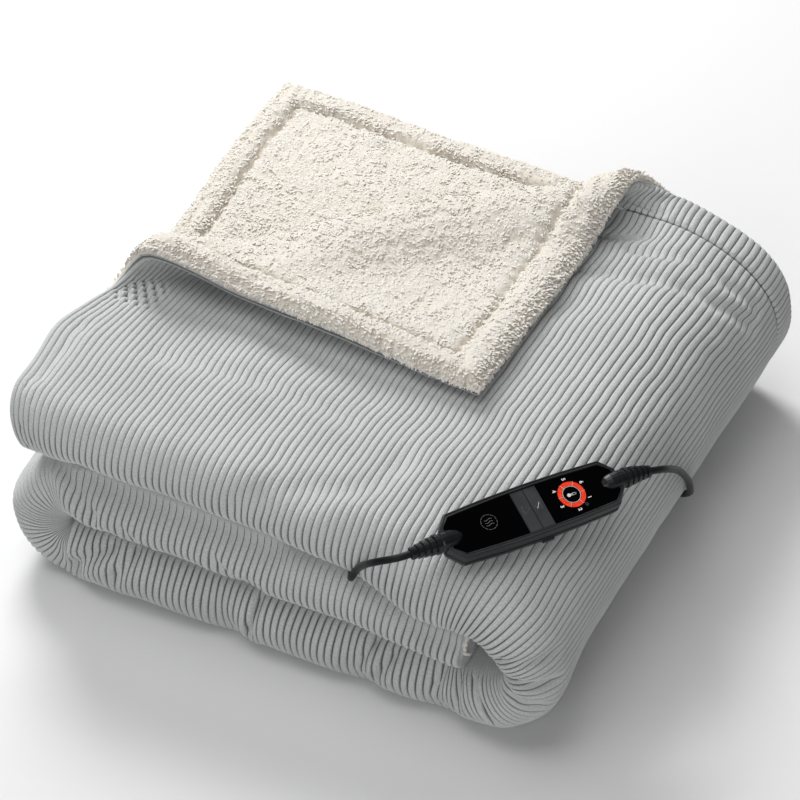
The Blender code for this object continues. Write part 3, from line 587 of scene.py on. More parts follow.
def way_round(points, border):
    """How far round the flat cloth each border point lies."""
    u, v = points[border].T
    far = np.where(v <= 1e-9, u, np.where(u >= CUT_WIDTH - 1e-9, CUT_WIDTH + v, 0))
    top = (v >= CUT_LENGTH - 1e-9) & (far <= CUT_WIDTH)
    far = np.where(top, 2 * CUT_WIDTH + CUT_LENGTH - u, far)
    left = (u <= 1e-9) & (v > 1e-9) & (v < CUT_LENGTH - 1e-9)
    return np.where(left, 2 * (CUT_WIDTH + CUT_LENGTH) - v, far)


def flat_cloth_mesh(name, places, faces, flat):
    """A mesh in the pile; its UV map is each point's place on the flat cloth, in metres."""
    mesh = bpy.data.meshes.new(name)
    mesh.from_pydata(places.tolist(), [], faces)
    corners = np.empty(len(mesh.loops), dtype=np.int32)
    mesh.loops.foreach_get("vertex_index", corners)
    layer = mesh.uv_layers.new(name="flat_cloth")
    layer.data.foreach_set("uv", flat[corners].astype(np.float32).ravel())
    made = bpy.data.objects.new(name, mesh)
    bpy.context.scene.collection.objects.link(made)
    print(name, "points", len(mesh.vertices), "faces", len(mesh.polygons))
    return made


def closed_sheet(name, face_net, face_depth, back_net, back_depth, sways=(0.0, 0.0)):
    """A closed cloth between two nets; sways shift the points of each along u."""
    places, faces, rims, flats = [], [], [], []
    start = 0
    whole = 2 * (CUT_WIDTH + CUT_LENGTH)
    for (points, cells, border), depth, sway, step in (
        (face_net, face_depth, sways[0], 1), (back_net, back_depth, sways[1], -1),
    ):
        places.append(cloth_place(points[:, 0] + sway, points[:, 1], depth))
        flats.append(points)
        faces += [tuple(start + i for i in cell[::step]) for cell in cells]
        rim = [(far, start + i) for far, i in zip(way_round(points, border), border)]
        rims.append(rim + [(whole, rim[0][1])])
        start += len(points)
    face_rim, back_rim = rims
    faces += [(face[-1], *face[:-1]) for face in stitch(back_rim, face_rim)]
    sheet = flat_cloth_mesh(name, np.concatenate(places), faces, np.concatenate(flats))
    sheet.data.shade_smooth()
    return sheet


def keep_attribute(piece, name, values):
    made = piece.data.attributes.new(name, "FLOAT", "POINT")
    made.data.foreach_set("value", np.asarray(values, dtype=np.float32))


def soft_noise(x, y, size, seed):
    """Smooth random numbers from 0 to 1 over the flat cloth, with blobs of that size."""
    table = np.random.default_rng(seed).random((128, 128))
    gx, gy = x / size, y / size
    ix, iy = np.floor(gx).astype(int), np.floor(gy).astype(int)
    fx, fy = gx - ix, gy - iy
    fx, fy = fx * fx * (3 - 2 * fx), fy * fy * (3 - 2 * fy)
    a, b = table[ix % 128, iy % 128], table[(ix + 1) % 128, iy % 128]
    c, d = table[ix % 128, (iy + 1) % 128], table[(ix + 1) % 128, (iy + 1) % 128]
    return (a * (1 - fx) + b * fx) * (1 - fy) + (c * (1 - fx) + d * fx) * fy


def uneven(u, v, blob, seed, height):
    """Smooth random relief, height from its lowest to its highest."""
    return (soft_noise(u, v, blob, seed) - 0.5) * height


def from_cut_edge(u, v):
    return np.minimum(np.minimum(u, CUT_WIDTH - u), np.minimum(v, CUT_LENGTH - v))


def rounded_edge(u, v, radius):
    """1 at the cut edge, falling along a quarter circle to 0 at that radius."""
    inwards = np.clip(from_cut_edge(u, v) / radius, 0, 1)
    return 1 - np.sqrt(np.clip(1 - (1 - inwards) ** 2, 0, 1))


# %% [markdown]
# ## The ribbed face cloth
#
# The plush has soft round ribs 5.3 mm apart with narrow valleys between them. Where the cloth
# is sewn, the thread presses the ribs flat and short pieces of rib puff up beside it. The
# ribs could be a bump, but the outline of every fold shows them, so they are real points.

# %% Ribs, seams and creases of the face cloth
HEM_SIDE, HEM_OUTER, HEM_BACK = 0.0238, 0.0122, 0.029
FINGER, STITCH, KNUCKLE = 0.0056, 0.0118, 0.0105
SEAM_DEPTH, PIT_DEPTH, EDGE_ROUND = 0.0011, 0.0017, 0.005
WAVE_LENGTH, WAVE_SLANT = 0.050, 9
BEND_DEEPER = 0.32
CREASES = in_metres((
    # places (u, v) along it, its depth, its width and how far the ribs jog there, in mm
    (((318, 105), (338, 104), (354, 98), (372, 91), (394, 86), (424, 64)), 2.4, 5.6, 0.7),
    (((326, 73), (350, 66), (364, 59), (384, 61), (420, 50)), 2.1, 5.2, 0.6),
    (((288, 18), (310, 22), (330, 24)), 1.5, 2.4, 0.4),
    (((290, 72), (312, 60), (326, 48)), 1.3, 5, 1.2),
    (((262, 118), (290, 108), (312, 112)), 1.1, 5.5, 1.2),
    (((80, 339), (146, 334), (162, 332), (208, 332), (232, 337)), 0.9, 7, 1),
    (((190, 432), (240, 408), (274, 390), (284, 350)), 1.5, 9, 1.2),
    (((20, 338), (18, 370), (15, 398)), 1.5, 5, 0),
    (((1018, 412), (1034, 424), (1052, 437)), 3.4, 4, 1.6),
    (((1076, 440), (1092, 450)), 1.8, 3.6, 1),
    (((1150, 438), (1166, 450), (1180, 446)), 2, 5, 1.6),
    (((842, 452), (858, 444), (874, 430)), 3, 4.2, 1),
    (((826, 454), (836, 438)), 2.6, 5, 1),
    (((728, 432), (724, 452)), 3, 3.6, 1.8),
    (((640, 438), (634, 454)), 3, 3.4, 1.8),
    (((626, 434), (618, 448)), 2.6, 3.4, 1.6),
    (((584, 440), (578, 458)), 2.8, 3.6, 1.8),
    (((562, 436), (556, 450)), 2.2, 3.4, 1.4),
    (((532, 432), (536, 452)), 2.6, 3.6, 1.4),
    (((424, 440), (440, 424), (446, 410)), 2.2, 4.8, 1.2),
    (((452, 446), (466, 430), (470, 414)), 2.4, 4.8, 1.2),
    (((480, 450), (490, 436), (492, 420)), 2, 4.8, 1),
))


def near_line(u, v, line):
    """How far points of the flat cloth are from a line, and on which side of it."""
    nearest, side = np.full_like(u, np.inf), np.zeros_like(u)
    for (u0, v0), (u1, v1) in zip(line, line[1:]):
        du, dv = u1 - u0, v1 - v0
        share = np.clip(((u - u0) * du + (v - v0) * dv) / (du * du + dv * dv), 0, 1)
        gap = np.hypot(u - u0 - share * du, v - v0 - share * dv)
        away = (du * (v - v0) - dv * (u - u0)) / math.hypot(du, dv)
        side = np.where(gap < nearest, away, side)
        nearest = np.minimum(gap, nearest)
    return nearest, side


def rib_share(u, v):
    """1 where the ribs show, fading to 0 inside the folds and on the floor."""
    bend = (v - V_STOPS[1]) / (V_STOPS[2] - V_STOPS[1])
    outside = np.maximum(
        1 - ease(u, U_STOPS[2] - 0.060, U_STOPS[2] - 0.030),
        between(u, U_STOPS[3] + 0.030, U_STOPS[3] + 0.050, U_STOPS[4] - 0.040, U_STOPS[4] - 0.020),
    )
    front = (1 - ease(bend, 0.80, 0.97)) * np.maximum(outside, ease(bend, 0.05, 0.25))
    back = between(v, V_STOPS[3] - 0.012, V_STOPS[3], V_STOPS[4], V_STOPS[4] + 0.012)
    return np.where(v > V_STOPS[2], back, front)


def rib_shape(u):
    """0 in the valley and 1 on the crown: round on top, narrow below."""
    across = np.abs(u / RIB_PITCH - np.round(u / RIB_PITCH)) * 2
    return np.sqrt(np.clip(1 - (1 - across) ** 2.3, 0, 1))


def beside_corner(u, v):
    """1 along the strip that the turned-back corner's right edge presses into waves."""
    return bell(u - 0.308, 0.030) * between(v, 0.012, 0.045, 0.15, 0.21)


def rib_sway(u, v):
    """How far the ribs wander sideways: a little everywhere, and in a jog at each crease."""
    sway = uneven(u * 0.5, v, 0.034, 7, 0.0020)
    sway += uneven(u * 0.6, v, 0.013, 8, 0.0008)
    for line, _, width, jog in CREASES:
        gap, side = near_line(u, v, line)
        sway += jog * (side / width) * bell(gap, width)
    wave = 2 * math.pi * v / WAVE_LENGTH + WAVE_SLANT * u
    sway += 0.0012 * beside_corner(u, v) * np.sin(wave)
    return sway * ease(from_cut_edge(u, v), 0.0, 0.018)


def deeper(v):
    """The ribs open up over the front bend, so their valleys are deeper there."""
    bend = (v - V_STOPS[1]) / (V_STOPS[2] - V_STOPS[1])
    return 1 + BEND_DEEPER * ease(bend, 0.25, 0.55)


def knuckles(u, v, crown, share):
    """Short pieces of rib that puff up at the left edge, where the hem pulls them together."""
    puffed = bell(u - 0.028, 0.020, 4) * bell(v - 0.286, 0.015, 4)
    links = 0.5 - 0.5 * np.cos(2 * math.pi * (v / KNUCKLE + 0.5 * np.floor(u / RIB_PITCH)))
    return puffed * share * (0.0040 * crown * (links - 0.30) - 0.0024 * (1 - links) ** 3)


def face_relief(u, v):
    """How far the plush stands out, and how much painted shade its valleys get."""
    crown, share = rib_shape(u), rib_share(u, v)
    off_seam = np.abs(v - HEM_BACK)
    fingers = 1 - (1 - np.clip(off_seam / FINGER, 0, 1)) ** 2.5
    relief = RIB_HEIGHT * deeper(v) * crown * share * fingers - SEAM_DEPTH * bell(off_seam, 0.0022)
    for seam, phase in ((HEM_SIDE, 0.0), (HEM_OUTER, 0.5)):
        pits = np.clip(np.cos(2 * math.pi * (v / STITCH + phase)), 0, 1) ** 2
        relief -= PIT_DEPTH * pits * bell(u - seam, 0.0018) * (v < V_STOPS[2])
    relief += knuckles(u, v, crown, share)
    relief += (uneven(u, v, 0.045, 3, 0.0024) + uneven(u, v, 0.018, 4, 0.0009)) * share
    wave = 2 * math.pi * v / WAVE_LENGTH + WAVE_SLANT * u
    relief += beside_corner(u, v) * (0.0015 * np.sin(wave + 1.2) - 0.0022)
    for line, depth, width, _ in CREASES:
        gap, _ = near_line(u, v, line)
        dip = bell(gap, width) * (0.45 + 1.1 * soft_noise(u, v, 0.012, 41))
        shoulder = bell(gap - 2.1 * width, 1.1 * width)
        deep = depth * (1 + 0.5 * ease(v, 0.40, 0.43))
        relief += deep * share * (0.32 * shoulder - dip) - 0.35 * RIB_HEIGHT * crown * share * dip
    # Painted shade: darkest in the rib valleys and the back seam, and most over the front bend.
    groove = np.clip((1 - crown) + 0.9 * bell(off_seam, 0.0009), 0, 1)
    groove = np.clip(groove * deeper(v) ** 2, 0, 1) * share
    return relief - 0.0022 * rounded_edge(u, v, EDGE_ROUND), groove


# %% Net of the face cloth
RIB_STOPS = (0.0, 0.08, 0.26, 0.5, 0.74, 0.92)
FEW_STOPS = (0.0, 0.14, 0.5, 0.86)
BACK_LOW, BACK_HIGH = V_STOPS[3] - 0.014, V_STOPS[4] + 0.014
ALL_RIBS = math.ceil(CUT_WIDTH / RIB_PITCH)
TOP_RIBS = round((U_STOPS[2] - 0.020) / RIB_PITCH)
LEFT_RIBS = (round((U_STOPS[3] + 0.020) / RIB_PITCH), round((U_STOPS[4] - 0.010) / RIB_PITCH))


def ribs_between(first, last, stops=RIB_STOPS):
    columns = [(rib + stop) * RIB_PITCH for rib in range(first, last) for stop in stops]
    return [u for u in columns if u < CUT_WIDTH - 0.0002]


def spread(low, high, step):
    return list(np.linspace(low, high, max(1, round((high - low) / step)) + 1)[:-1])


def rows_of(*bands):
    """Rows of a net from bands of (where a band starts, its step); the last one ends the net."""
    pairs = zip(bands, bands[1:])
    return [v for (low, step), (high, _) in pairs for v in spread(low, high, step)]


HIDDEN_STEP_U, HIDDEN_STEP_V = 0.020, 0.012
COARSE = sorted(set(
    round(u, 7) for a, b in zip(U_STOPS[:-1], U_STOPS[1:]) for u in spread(a, b, HIDDEN_STEP_U)
) | {round(CUT_WIDTH, 7)})


def face_columns(v):
    fine = []
    if v <= V_STOPS[2] + 0.001:
        fine += ribs_between(0, TOP_RIBS)
        if v > V_STOPS[1] - 0.002:
            fine += ribs_between(TOP_RIBS, ALL_RIBS)
        else:
            fine += ribs_between(*LEFT_RIBS, FEW_STOPS)
        if v > 0.045:
            fine = [u for u in fine if u < 0.045 or beyond_flap_line(u, v) < 0.060]
    elif BACK_LOW < v < BACK_HIGH:
        fine += ribs_between(0, ALL_RIBS, FEW_STOPS)
    return sorted(set(round(u, 7) for u in fine) | set(COARSE))


face_rows = rows_of(
    (0, 0.002), (0.008, 0.0045), (0.0215, 0.0011), (0.0365, 0.0034), (0.112, 0.0078),
    (0.262, 0.0026), (0.302, 0.0060), (V_STOPS[1], 0.0033), (V_STOPS[2], 0.05),
    (BACK_LOW, 0.0048), (BACK_HIGH, 0.05), (V_STOPS[5], 0.004), (V_STOPS[6], 0.05),
    (CUT_LENGTH - 0.01, 0.005), (CUT_LENGTH, 0),
) + [CUT_LENGTH]
face_net = flat_net(face_rows, face_columns)
hidden_rows = [
    v for a, b in zip(V_STOPS[:-1], V_STOPS[1:]) for v in spread(a, b, HIDDEN_STEP_V)
]
hidden_net = flat_net(hidden_rows + [CUT_LENGTH], lambda v: COARSE)

relief, groove = face_relief(*face_net[0].T)
under = np.full(len(hidden_net[0]), PLUSH)
sway = rib_sway(*face_net[0].T)
face_cloth = closed_sheet("face_cloth", face_net, -relief, hidden_net, under, (sway, 0.0))
# The valley attribute carries the painted shade of the rib valleys and the back seam.
keep_attribute(face_cloth, "valley", np.concatenate([groove, np.zeros(len(hidden_net[0]))]))
print("ribs across the cloth:", ALL_RIBS, "creases:", len(CREASES))

# %% [markdown]
# ## The fleece
#
# The fleece is a thick curly pile. It shows on the turned-back corner and on the layer that
# the corner uncovers, with a sewn groove a finger's width inside every edge, where the hem
# swells up as a soft roll. The curls are real points there, and the finest are a bump.

# %% Fleece relief
HEM_GROOVE, HEM_SWELL, BINDING = 0.0245, 0.0125, 0.0092
FLEECE_ROUND, SCALLOP, SCALLOP_DEPTH = 0.009, 0.009, 0.0016


def from_exposed_edge(u, v):
    """Distance from the nearest cut edge of the corner or of the layer it uncovers."""
    return np.minimum(u, np.minimum(v, CUT_LENGTH - v))


def fleece_shows(u, v):
    """1 on the turned-back corner and on the layer under it, 0 where the fleece is hidden."""
    corner = ease(beyond_flap_line(u, v), 0.002, 0.014)
    uncovered = ease(beyond_flap_line(u, CUT_LENGTH - v), -0.050, -0.036)
    return np.maximum(corner, uncovered)


def fleece_relief(u, v):
    """How far the fleece's ground stands out, and how much painted shade it gets between curls."""
    shows = fleece_shows(u, v)
    wander = uneven(u, v, 0.006, 21, 0.003)
    curls = 1 - np.abs(2 * soft_noise(u + wander, v - wander, 0.0062, 22) - 1)
    pile = 0.0016 * curls + uneven(u, v, 0.013, 24, 0.0018) - 0.0022
    edge = from_exposed_edge(u, v)
    pulls = 0.72 + 0.28 * np.cos(2 * math.pi * (u + v) / 0.013)
    groove = bell(edge - HEM_GROOVE, 0.0026)
    binding = bell(u - BINDING, 0.0017) * (v > CUT_LENGTH / 2)
    relief = pile + 0.0042 * bell(edge - HEM_SWELL, 0.0085, 4) + 0.0008 * bell(edge - 0.034, 0.007)
    relief = relief - 0.0046 * groove * pulls - 0.0024 * binding
    # Painted shade: darker, warmer where the ground is low, in the hem's groove and binding.
    deep = np.clip(0.55 - pile / 0.005 + 0.5 * groove + 0.3 * binding, 0, 1)
    return relief * shows - 0.0044 * rounded_edge(u, v, FLEECE_ROUND), deep * shows


def edge_scallops(u, v):
    """The quilted edge runs in small scallops, where its stitches pull it in."""
    at_side = (u < 0.004) & (v > 0.010) & (v < CUT_LENGTH - 0.010)
    return at_side * -SCALLOP_DEPTH * np.abs(np.sin(math.pi * v / SCALLOP))


# %% Net of the fleece
FLEECE_STEP = 0.0016


def fleece_columns(v):
    from_edge = min(v, CUT_LENGTH - v)
    fine = []
    if from_edge < FLAP_ALONG_SIDE + 0.03:
        margin = -0.001 if v < V_STOPS[1] else 0.06
        reach = FLAP_ALONG_BACK * (1 - from_edge / FLAP_ALONG_SIDE + margin / FLAP_SCALE)
        count = int(max(reach, 0.006) / FLEECE_STEP)
        fine = [step * FLEECE_STEP for step in range(count)]
    edges = [0.0, 0.002, 0.004, 0.008, CUT_WIDTH - 0.008, CUT_WIDTH - 0.004, CUT_WIDTH]
    return sorted(set(round(u, 7) for u in fine + edges) | set(COARSE))


CORNER_END, LAYER_START = 0.30, CUT_LENGTH - 0.33
inside_stops = zip((CORNER_END, *V_STOPS[1:6]), V_STOPS[1:7])
fleece_rows = spread(0, CORNER_END, FLEECE_STEP)
fleece_rows += [v for a, b in inside_stops for v in spread(a, b, 0.010)]
fleece_rows += spread(V_STOPS[6], LAYER_START, 0.02)
fleece_rows += spread(LAYER_START, CUT_LENGTH, FLEECE_STEP) + [CUT_LENGTH]
fleece_net = flat_net(fleece_rows, fleece_columns)
pile_relief, root_shade = fleece_relief(*fleece_net[0].T)
inner = np.full(len(hidden_net[0]), PLUSH + SEAM_GAP)
scallops = edge_scallops(*fleece_net[0].T)
fleece_cloth = closed_sheet(
    "fleece_cloth", hidden_net, inner, fleece_net, CLOTH + pile_relief, (0.0, scallops)
)
keep_attribute(fleece_cloth, "root_shade", np.concatenate([np.zeros(len(hidden_net[0])), root_shade]))

# %% [markdown]
# ## Curls of the fleece
#
# Up close the fleece is thousands of small locks, each a few millimetres long, that lean over
# and bunch together. Hair particles would be heavy and can't be exported, so each lock is one
# tapered blade with three sides and a bend in it. One rule places them all: a loose grid on
# the flat cloth, carried into the pile by the same sums as the cloth. At a cut edge the locks
# lean outwards, which gives the edge its fuzzy outline.


# %% Locks of fleece
LOCK_STEP, WALL_STEP, WALL_ROWS = 0.0019, 0.0016, 6
CLUMP, ROOT_DEPTH, EDGE_REACH = 0.0085, 0.0006, 0.006
CORNER_FROM, LAYER_FROM = 0.007, -0.030
LOCK_LENGTHS, LOCK_HALVES = (0.0030, 0.0048), (0.00070, 0.00115)
# painted root shade of each point of a blade: three at its foot, three at its bend, its tip
LOCK_ROOT_SHADE = [0.75, 0.75, 0.9, 0.20, 0.20, 0.35, 0.0]
BLADE = [(2, 1, 0), (4, 3, 0), (1, 4, 0), (5, 4, 1), (2, 5, 1), (3, 5, 2), (0, 3, 2)]
BLADE += [(4, 6, 3), (5, 6, 4), (3, 6, 5)]


def unit(vectors):
    return vectors / np.maximum(np.linalg.norm(vectors, axis=1, keepdims=True), 1e-12)


def clump_heart(cell_u, cell_v, seed):
    """A steady random number from 0 to 1 for each clump of locks."""
    mix = np.sin(cell_u * (12.9898 + seed) + cell_v * (78.233 - seed)) * 43758.5453
    return mix - np.floor(mix)


def lean_of(u, v, chance, away):
    """Which way locks lean on the flat cloth: combed, bunched, and outwards at a cut edge."""
    cell_u, cell_v = np.floor(u / CLUMP), np.floor(v / CLUMP)
    heart_u = (cell_u + 0.25 + 0.5 * clump_heart(cell_u, cell_v, 0)) * CLUMP
    heart_v = (cell_v + 0.25 + 0.5 * clump_heart(cell_u, cell_v, 9)) * CLUMP
    comb = 2 * math.pi * soft_noise(u, v, 0.030, 31) * 1.3 + 0.6
    lean_u = np.cos(comb) + (heart_u - u) / CLUMP * 1.6 + chance.normal(0, 0.45, len(u))
    lean_v = np.sin(comb) + (heart_v - v) / CLUMP * 1.6 + chance.normal(0, 0.45, len(u))
    low, high = bell(v, EDGE_REACH), bell(CUT_LENGTH - v, EDGE_REACH)
    return lean_u - 3 * bell(u, EDGE_REACH) + away[0], lean_v + 3 * (high - low) + away[1]


def fleece_locks(name, u, v, chance, depth=None, away=(0.0, 0.0), rise=(17, 42), fall=(-24, 2)):
    """Tapered blades that grow on the fleece at (u, v), leaning away; one mesh of them all."""
    count = len(u)
    if depth is None:
        depth = CLOTH + fleece_relief(u, v)[0]
    root = cloth_place(u, v, depth - ROOT_DEPTH)
    out = unit(cloth_place(u, v, depth + 0.004) - root)
    along_u = unit(cloth_place(u + 0.001, v, depth) - cloth_place(u - 0.001, v, depth))
    along_v = unit(cloth_place(u, v + 0.001, depth) - cloth_place(u, v - 0.001, depth))
    lean_u, lean_v = lean_of(u, v, chance, away)
    lean = unit(along_u * lean_u[:, None] + along_v * lean_v[:, None])
    side = unit(np.cross(out, lean))
    length, half, lift, droop = (
        chance.uniform(*limits, count)[:, None]
        for limits in (LOCK_LENGTHS, LOCK_HALVES, rise, fall)
    )
    lift, droop = np.radians(lift), np.radians(droop)
    middle = root + 0.50 * length * (lean * np.cos(lift) + out * np.sin(lift))
    tip = middle + 0.50 * length * (lean * np.cos(droop) + out * np.sin(droop))
    rows = [root + side * half, root - side * half, root - out * half]
    rows += [middle + side * half * 1.1, middle - side * half * 1.1, middle - out * half, tip]
    points = len(rows)
    places = np.stack(rows, axis=1).reshape(-1, 3)
    faces = (np.array(BLADE)[None] + points * np.arange(count)[:, None, None]).reshape(-1, 3)
    flat = np.repeat(np.stack([u, v], axis=1), points, axis=0)
    made = flat_cloth_mesh(name, places, faces.tolist(), flat)
    # Painted shade: each lock is darkest at its foot and lightest at its tip.
    keep_attribute(made, "root_shade", np.tile(LOCK_ROOT_SHADE, count))
    return made


def scattered(low_v, high_v, widest, chance):
    """Points of a loose grid on the flat cloth."""
    u, v = np.meshgrid(np.arange(0.0008, widest, LOCK_STEP), np.arange(low_v, high_v, LOCK_STEP))
    u = u.ravel() + chance.uniform(-0.5, 0.5, u.size) * LOCK_STEP
    v = v.ravel() + chance.uniform(-0.5, 0.5, v.size) * LOCK_STEP
    keep = (u > 0.0004) & (v > 0.0004) & (v < CUT_LENGTH - 0.0004)
    return u[keep], v[keep]


chance = np.random.default_rng(41)
u, v = scattered(0.0008, FLAP_ALONG_SIDE, FLAP_ALONG_BACK, chance)
on_corner = beyond_flap_line(u, v) > CORNER_FROM
corner_locks = fleece_locks("corner_locks", u[on_corner], v[on_corner], chance)

u, v = scattered(CUT_LENGTH - 0.34, CUT_LENGTH, 0.40, chance)
uncovered = beyond_flap_line(u, CUT_LENGTH - v) > LAYER_FROM
layer_locks = fleece_locks("layer_locks", u[uncovered], v[uncovered], chance)

END_LOCKS = 130
end_v = chance.uniform(V_STOPS[1] + 0.004, V_STOPS[2] - 0.006, END_LOCKS)
end_u = CUT_WIDTH - chance.uniform(0.0004, 0.0035, END_LOCKS)
end_locks = fleece_locks("end_locks", end_u, end_v, chance, away=(4.0, 0.0))


# %% Locks on the cut walls of the fleece
def wall_locks(name, along_side, end_v, chance):
    """Locks that grow out of the fleece's cut edge, so that no smooth wall shows there."""
    along_end = CUT_WIDTH - 0.002
    count = int(along_side / WALL_STEP * WALL_ROWS)
    v = chance.uniform(0.001, along_side, count)
    v = v if end_v == 0 else CUT_LENGTH - v
    u = np.full(count, 0.0006)
    count = int(along_end / WALL_STEP * WALL_ROWS)
    u = np.concatenate([u, chance.uniform(0.001, along_end, count)])
    v = np.concatenate([v, np.full(count, abs(end_v - 0.0006))])
    level = PLUSH + SEAM_GAP + 0.0016 + chance.uniform(0, 1, len(u)) * (FLEECE - 0.0055)
    level += 0.0030 * ease(v, 0.12, 0.18) * (end_v == 0)
    return fleece_locks(name, u, v, chance, depth=level, rise=(-20, 35), fall=(-75, -25))


corner_rim = wall_locks("corner_rim", 0.270, 0.0, chance)
layer_rim = wall_locks("layer_rim", 0.330, CUT_LENGTH, chance)
fleece_pile = [corner_locks, layer_locks, end_locks, corner_rim, layer_rim]

# %% [markdown]
# ## Cloth finishes
#
# The plush is a light cool grey with painted shade in its valleys, and a fine fuzz that catches
# light at grazing angles. Sheen gives that fuzz its glow. The fleece is a warm cream with painted
# shade, darker and warmer, between the curls and at the foot of each lock, and its finest curls
# are a bump.

# %% Plush finish
plush_grey = plain("grey_plush", (0.42, 0.43, 0.43), 0.95, [
    ("Sheen Weight", 0.35), ("Sheen Roughness", 0.45), ("Specular IOR Level", 0.15),
])
space = pattern_space(plush_grey, uv=True)
fuzz = noise(plush_grey, space, 0.0010, 3, 0.7)
soft = noise(plush_grey, space, 0.0016, 2)
broad = noise(plush_grey, space, 0.05, 3)
light_grey = ramp(plush_grey, broad, ((0.3, (0.61, 0.622, 0.622)), (0.7, (0.68, 0.692, 0.688))))
flecks = ramp(plush_grey, fuzz, ((0.38, 0.0), (0.62, 0.50)))
flecked = blend_colours(plush_grey, flecks, light_grey, (0.34, 0.352, 0.354))
# Painted shade: the valley attribute darkens the plush towards near black in its valleys and seam.
valley = ramp(plush_grey, attribute(plush_grey, "valley"), ((0.34, 0.0), (0.94, 0.94)))
shaded = blend_colours(plush_grey, valley, flecked, (0.058, 0.060, 0.062))
feed(plush_grey, "Base Color", shaded)
bump(plush_grey, (soft, 0.0008, 0.6), (fuzz, 0.0004, 0.8))

# %% Fleece finish
fleece_cream = plain("cream_fleece", (0.80, 0.76, 0.68), 1.0, [
    ("Sheen Weight", 0.3), ("Sheen Roughness", 0.5), ("Specular IOR Level", 0.1),
])
space = pattern_space(fleece_cream, uv=True)
curl_bump = noise(fleece_cream, space, 0.0018, 3, 0.6)
hair = noise(fleece_cream, pattern_space(fleece_cream, uv=True, stretch=(1, 0.35, 1)), 0.0006, 2)
# Painted shade: darker, warmer cream between the curls, in the hem's groove and at lock feet.
CREAMS_BY_SHADE = (
    (0.05, (0.82, 0.788, 0.736)), (0.50, (0.79, 0.750, 0.684)), (1.0, (0.74, 0.682, 0.590)),
)
shaded_cream = ramp(fleece_cream, attribute(fleece_cream, "root_shade"), CREAMS_BY_SHADE)
patches = ramp(fleece_cream, noise(fleece_cream, space, 0.02, 3), ((0.3, 0.0), (0.75, 0.30)))
patched = blend_colours(fleece_cream, patches, shaded_cream, (0.79, 0.748, 0.684))
feed(fleece_cream, "Base Color", patched)
bump(fleece_cream, (curl_bump, 0.0012, 0.7), (hair, 0.0005, 0.6))

for cloth, solid, finish, material, grown in (
    (face_cloth, "face_panel", "grey_plush", plush_grey, []),
    (fleece_cloth, "fleece_panel", "cream_fleece", fleece_cream, fleece_pile),
):
    for piece in [cloth] + grown:
        piece.data.materials.append(material)
        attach(piece, "blanket")
    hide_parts(solid)

# %% [markdown]
# ## Moulded plastics
#
# The controller's housing, keys and boots are moulded with a fine satin texture, and its two
# windows are polished. The texture's grains are half a millimetre wide, and the roughness varies
# a little, as it does where hands have polished it.

# %% Plastic finishes
def moulded(name, colour, roughness, grain, depth):
    material = plain(name, colour, roughness, [("Specular IOR Level", 0.36)])
    space = pattern_space(material)
    fine = noise(material, space, grain, 2)
    worn = noise(material, space, 0.018, 3)
    darker = tuple(c * 0.78 for c in colour)
    lighter = tuple(min(1.0, c * 1.25) for c in colour)
    vary(material, "Base Color", worn, ((0.3, darker), (0.7, lighter)))
    vary(material, "Roughness", worn, ((0.3, roughness - 0.06), (0.7, roughness + 0.08)))
    bump(material, (fine, depth, 0.35))
    return material


dark_plastic = moulded("housing_satin", (0.017, 0.0185, 0.0205), 0.42, 0.0005, 0.00012)
key_plastic = moulded("key_satin", (0.026, 0.028, 0.031), 0.50, 0.0004, 0.00010)
boot_plastic = moulded("boot_satin", (0.010, 0.011, 0.013), 0.27, 0.0006, 0.00010)
plug_plastic = moulded("plug_satin", (0.026, 0.027, 0.029), 0.46, 0.0006, 0.00012)
window_black = plain("window_gloss", (0.0006, 0.0006, 0.0008), 0.06, [("Specular IOR Level", 0.09)])
smudge = noise(window_black, pattern_space(window_black), 0.012, 4, 0.6)
vary(window_black, "Roughness", smudge, ((0.3, 0.04), (0.8, 0.13)))
pin_metal = plain("pin_nickel", (0.75, 0.74, 0.71), 0.28, [("Metallic", 1.0)])
drawn = noise(pin_metal, pattern_space(pin_metal, stretch=(0.15, 1, 1)), 0.0005, 2)
vary(pin_metal, "Roughness", drawn, ((0.3, 0.22), (0.7, 0.36)))

for material, names in (
    (dark_plastic, ("controller_base", "controller_cover")),
    (boot_plastic, ("boot_left", "boot_right")),
    (window_black, ("window_front", "window_dial")),
    (key_plastic, ("key_left", "key_right", "power_slider")),
    (plug_plastic, ("plug_body", "plug_collar")),
    (pin_metal, ("plug_pin_1", "plug_pin_2")),
):
    for name in names:
        for slot in nodes[name].material_slots:
            slot.material = material

# %% [markdown]
# ## Marks on the controller
#
# The dial shows six steps of warmth as a ring of lit segments with a digit beside each and a
# thermometer in the middle. Each key carries a faint arrow. Such marks are printed
# or lit from behind, so here each is a very thin raised piece on the glass, and an image isn't
# needed. The controller lies tilted on the cloth, so all of them are built flat around its
# middle and then carried there by the controller's own matrix.

# %% The controller's own frame
BOX_LENGTH, BOX_WIDTH, BOX_BOW, BOX_CORNER, BOX_DROP = 0.138, 0.041, 0.0026, 0.009, 0.0105
GLASS, KEY_TOP, RIM_TOP = 0.0070, 0.0071, 0.0075
TO_CONTROLLER = (
    Matrix.Translation(Vector((0.1697, -0.1472, 0.1568)) + PILE_MIDDLE)
    @ Matrix.Rotation(math.radians(55.9), 4, "Z")
    @ Matrix.Rotation(math.radians(2.3), 4, "Y")
    @ Matrix.Rotation(math.radians(18.9), 4, "X")
)


def activate(piece):
    """Makes a piece the only selected one."""
    deselect_all()
    piece.select_set(True)
    bpy.context.view_layer.objects.active = piece


def settle_place():
    """Puts the active piece's place, turn and size into its mesh."""
    activate(bpy.context.object)
    bpy.ops.object.transform_apply(location=True, rotation=True, scale=True)
    return bpy.context.object


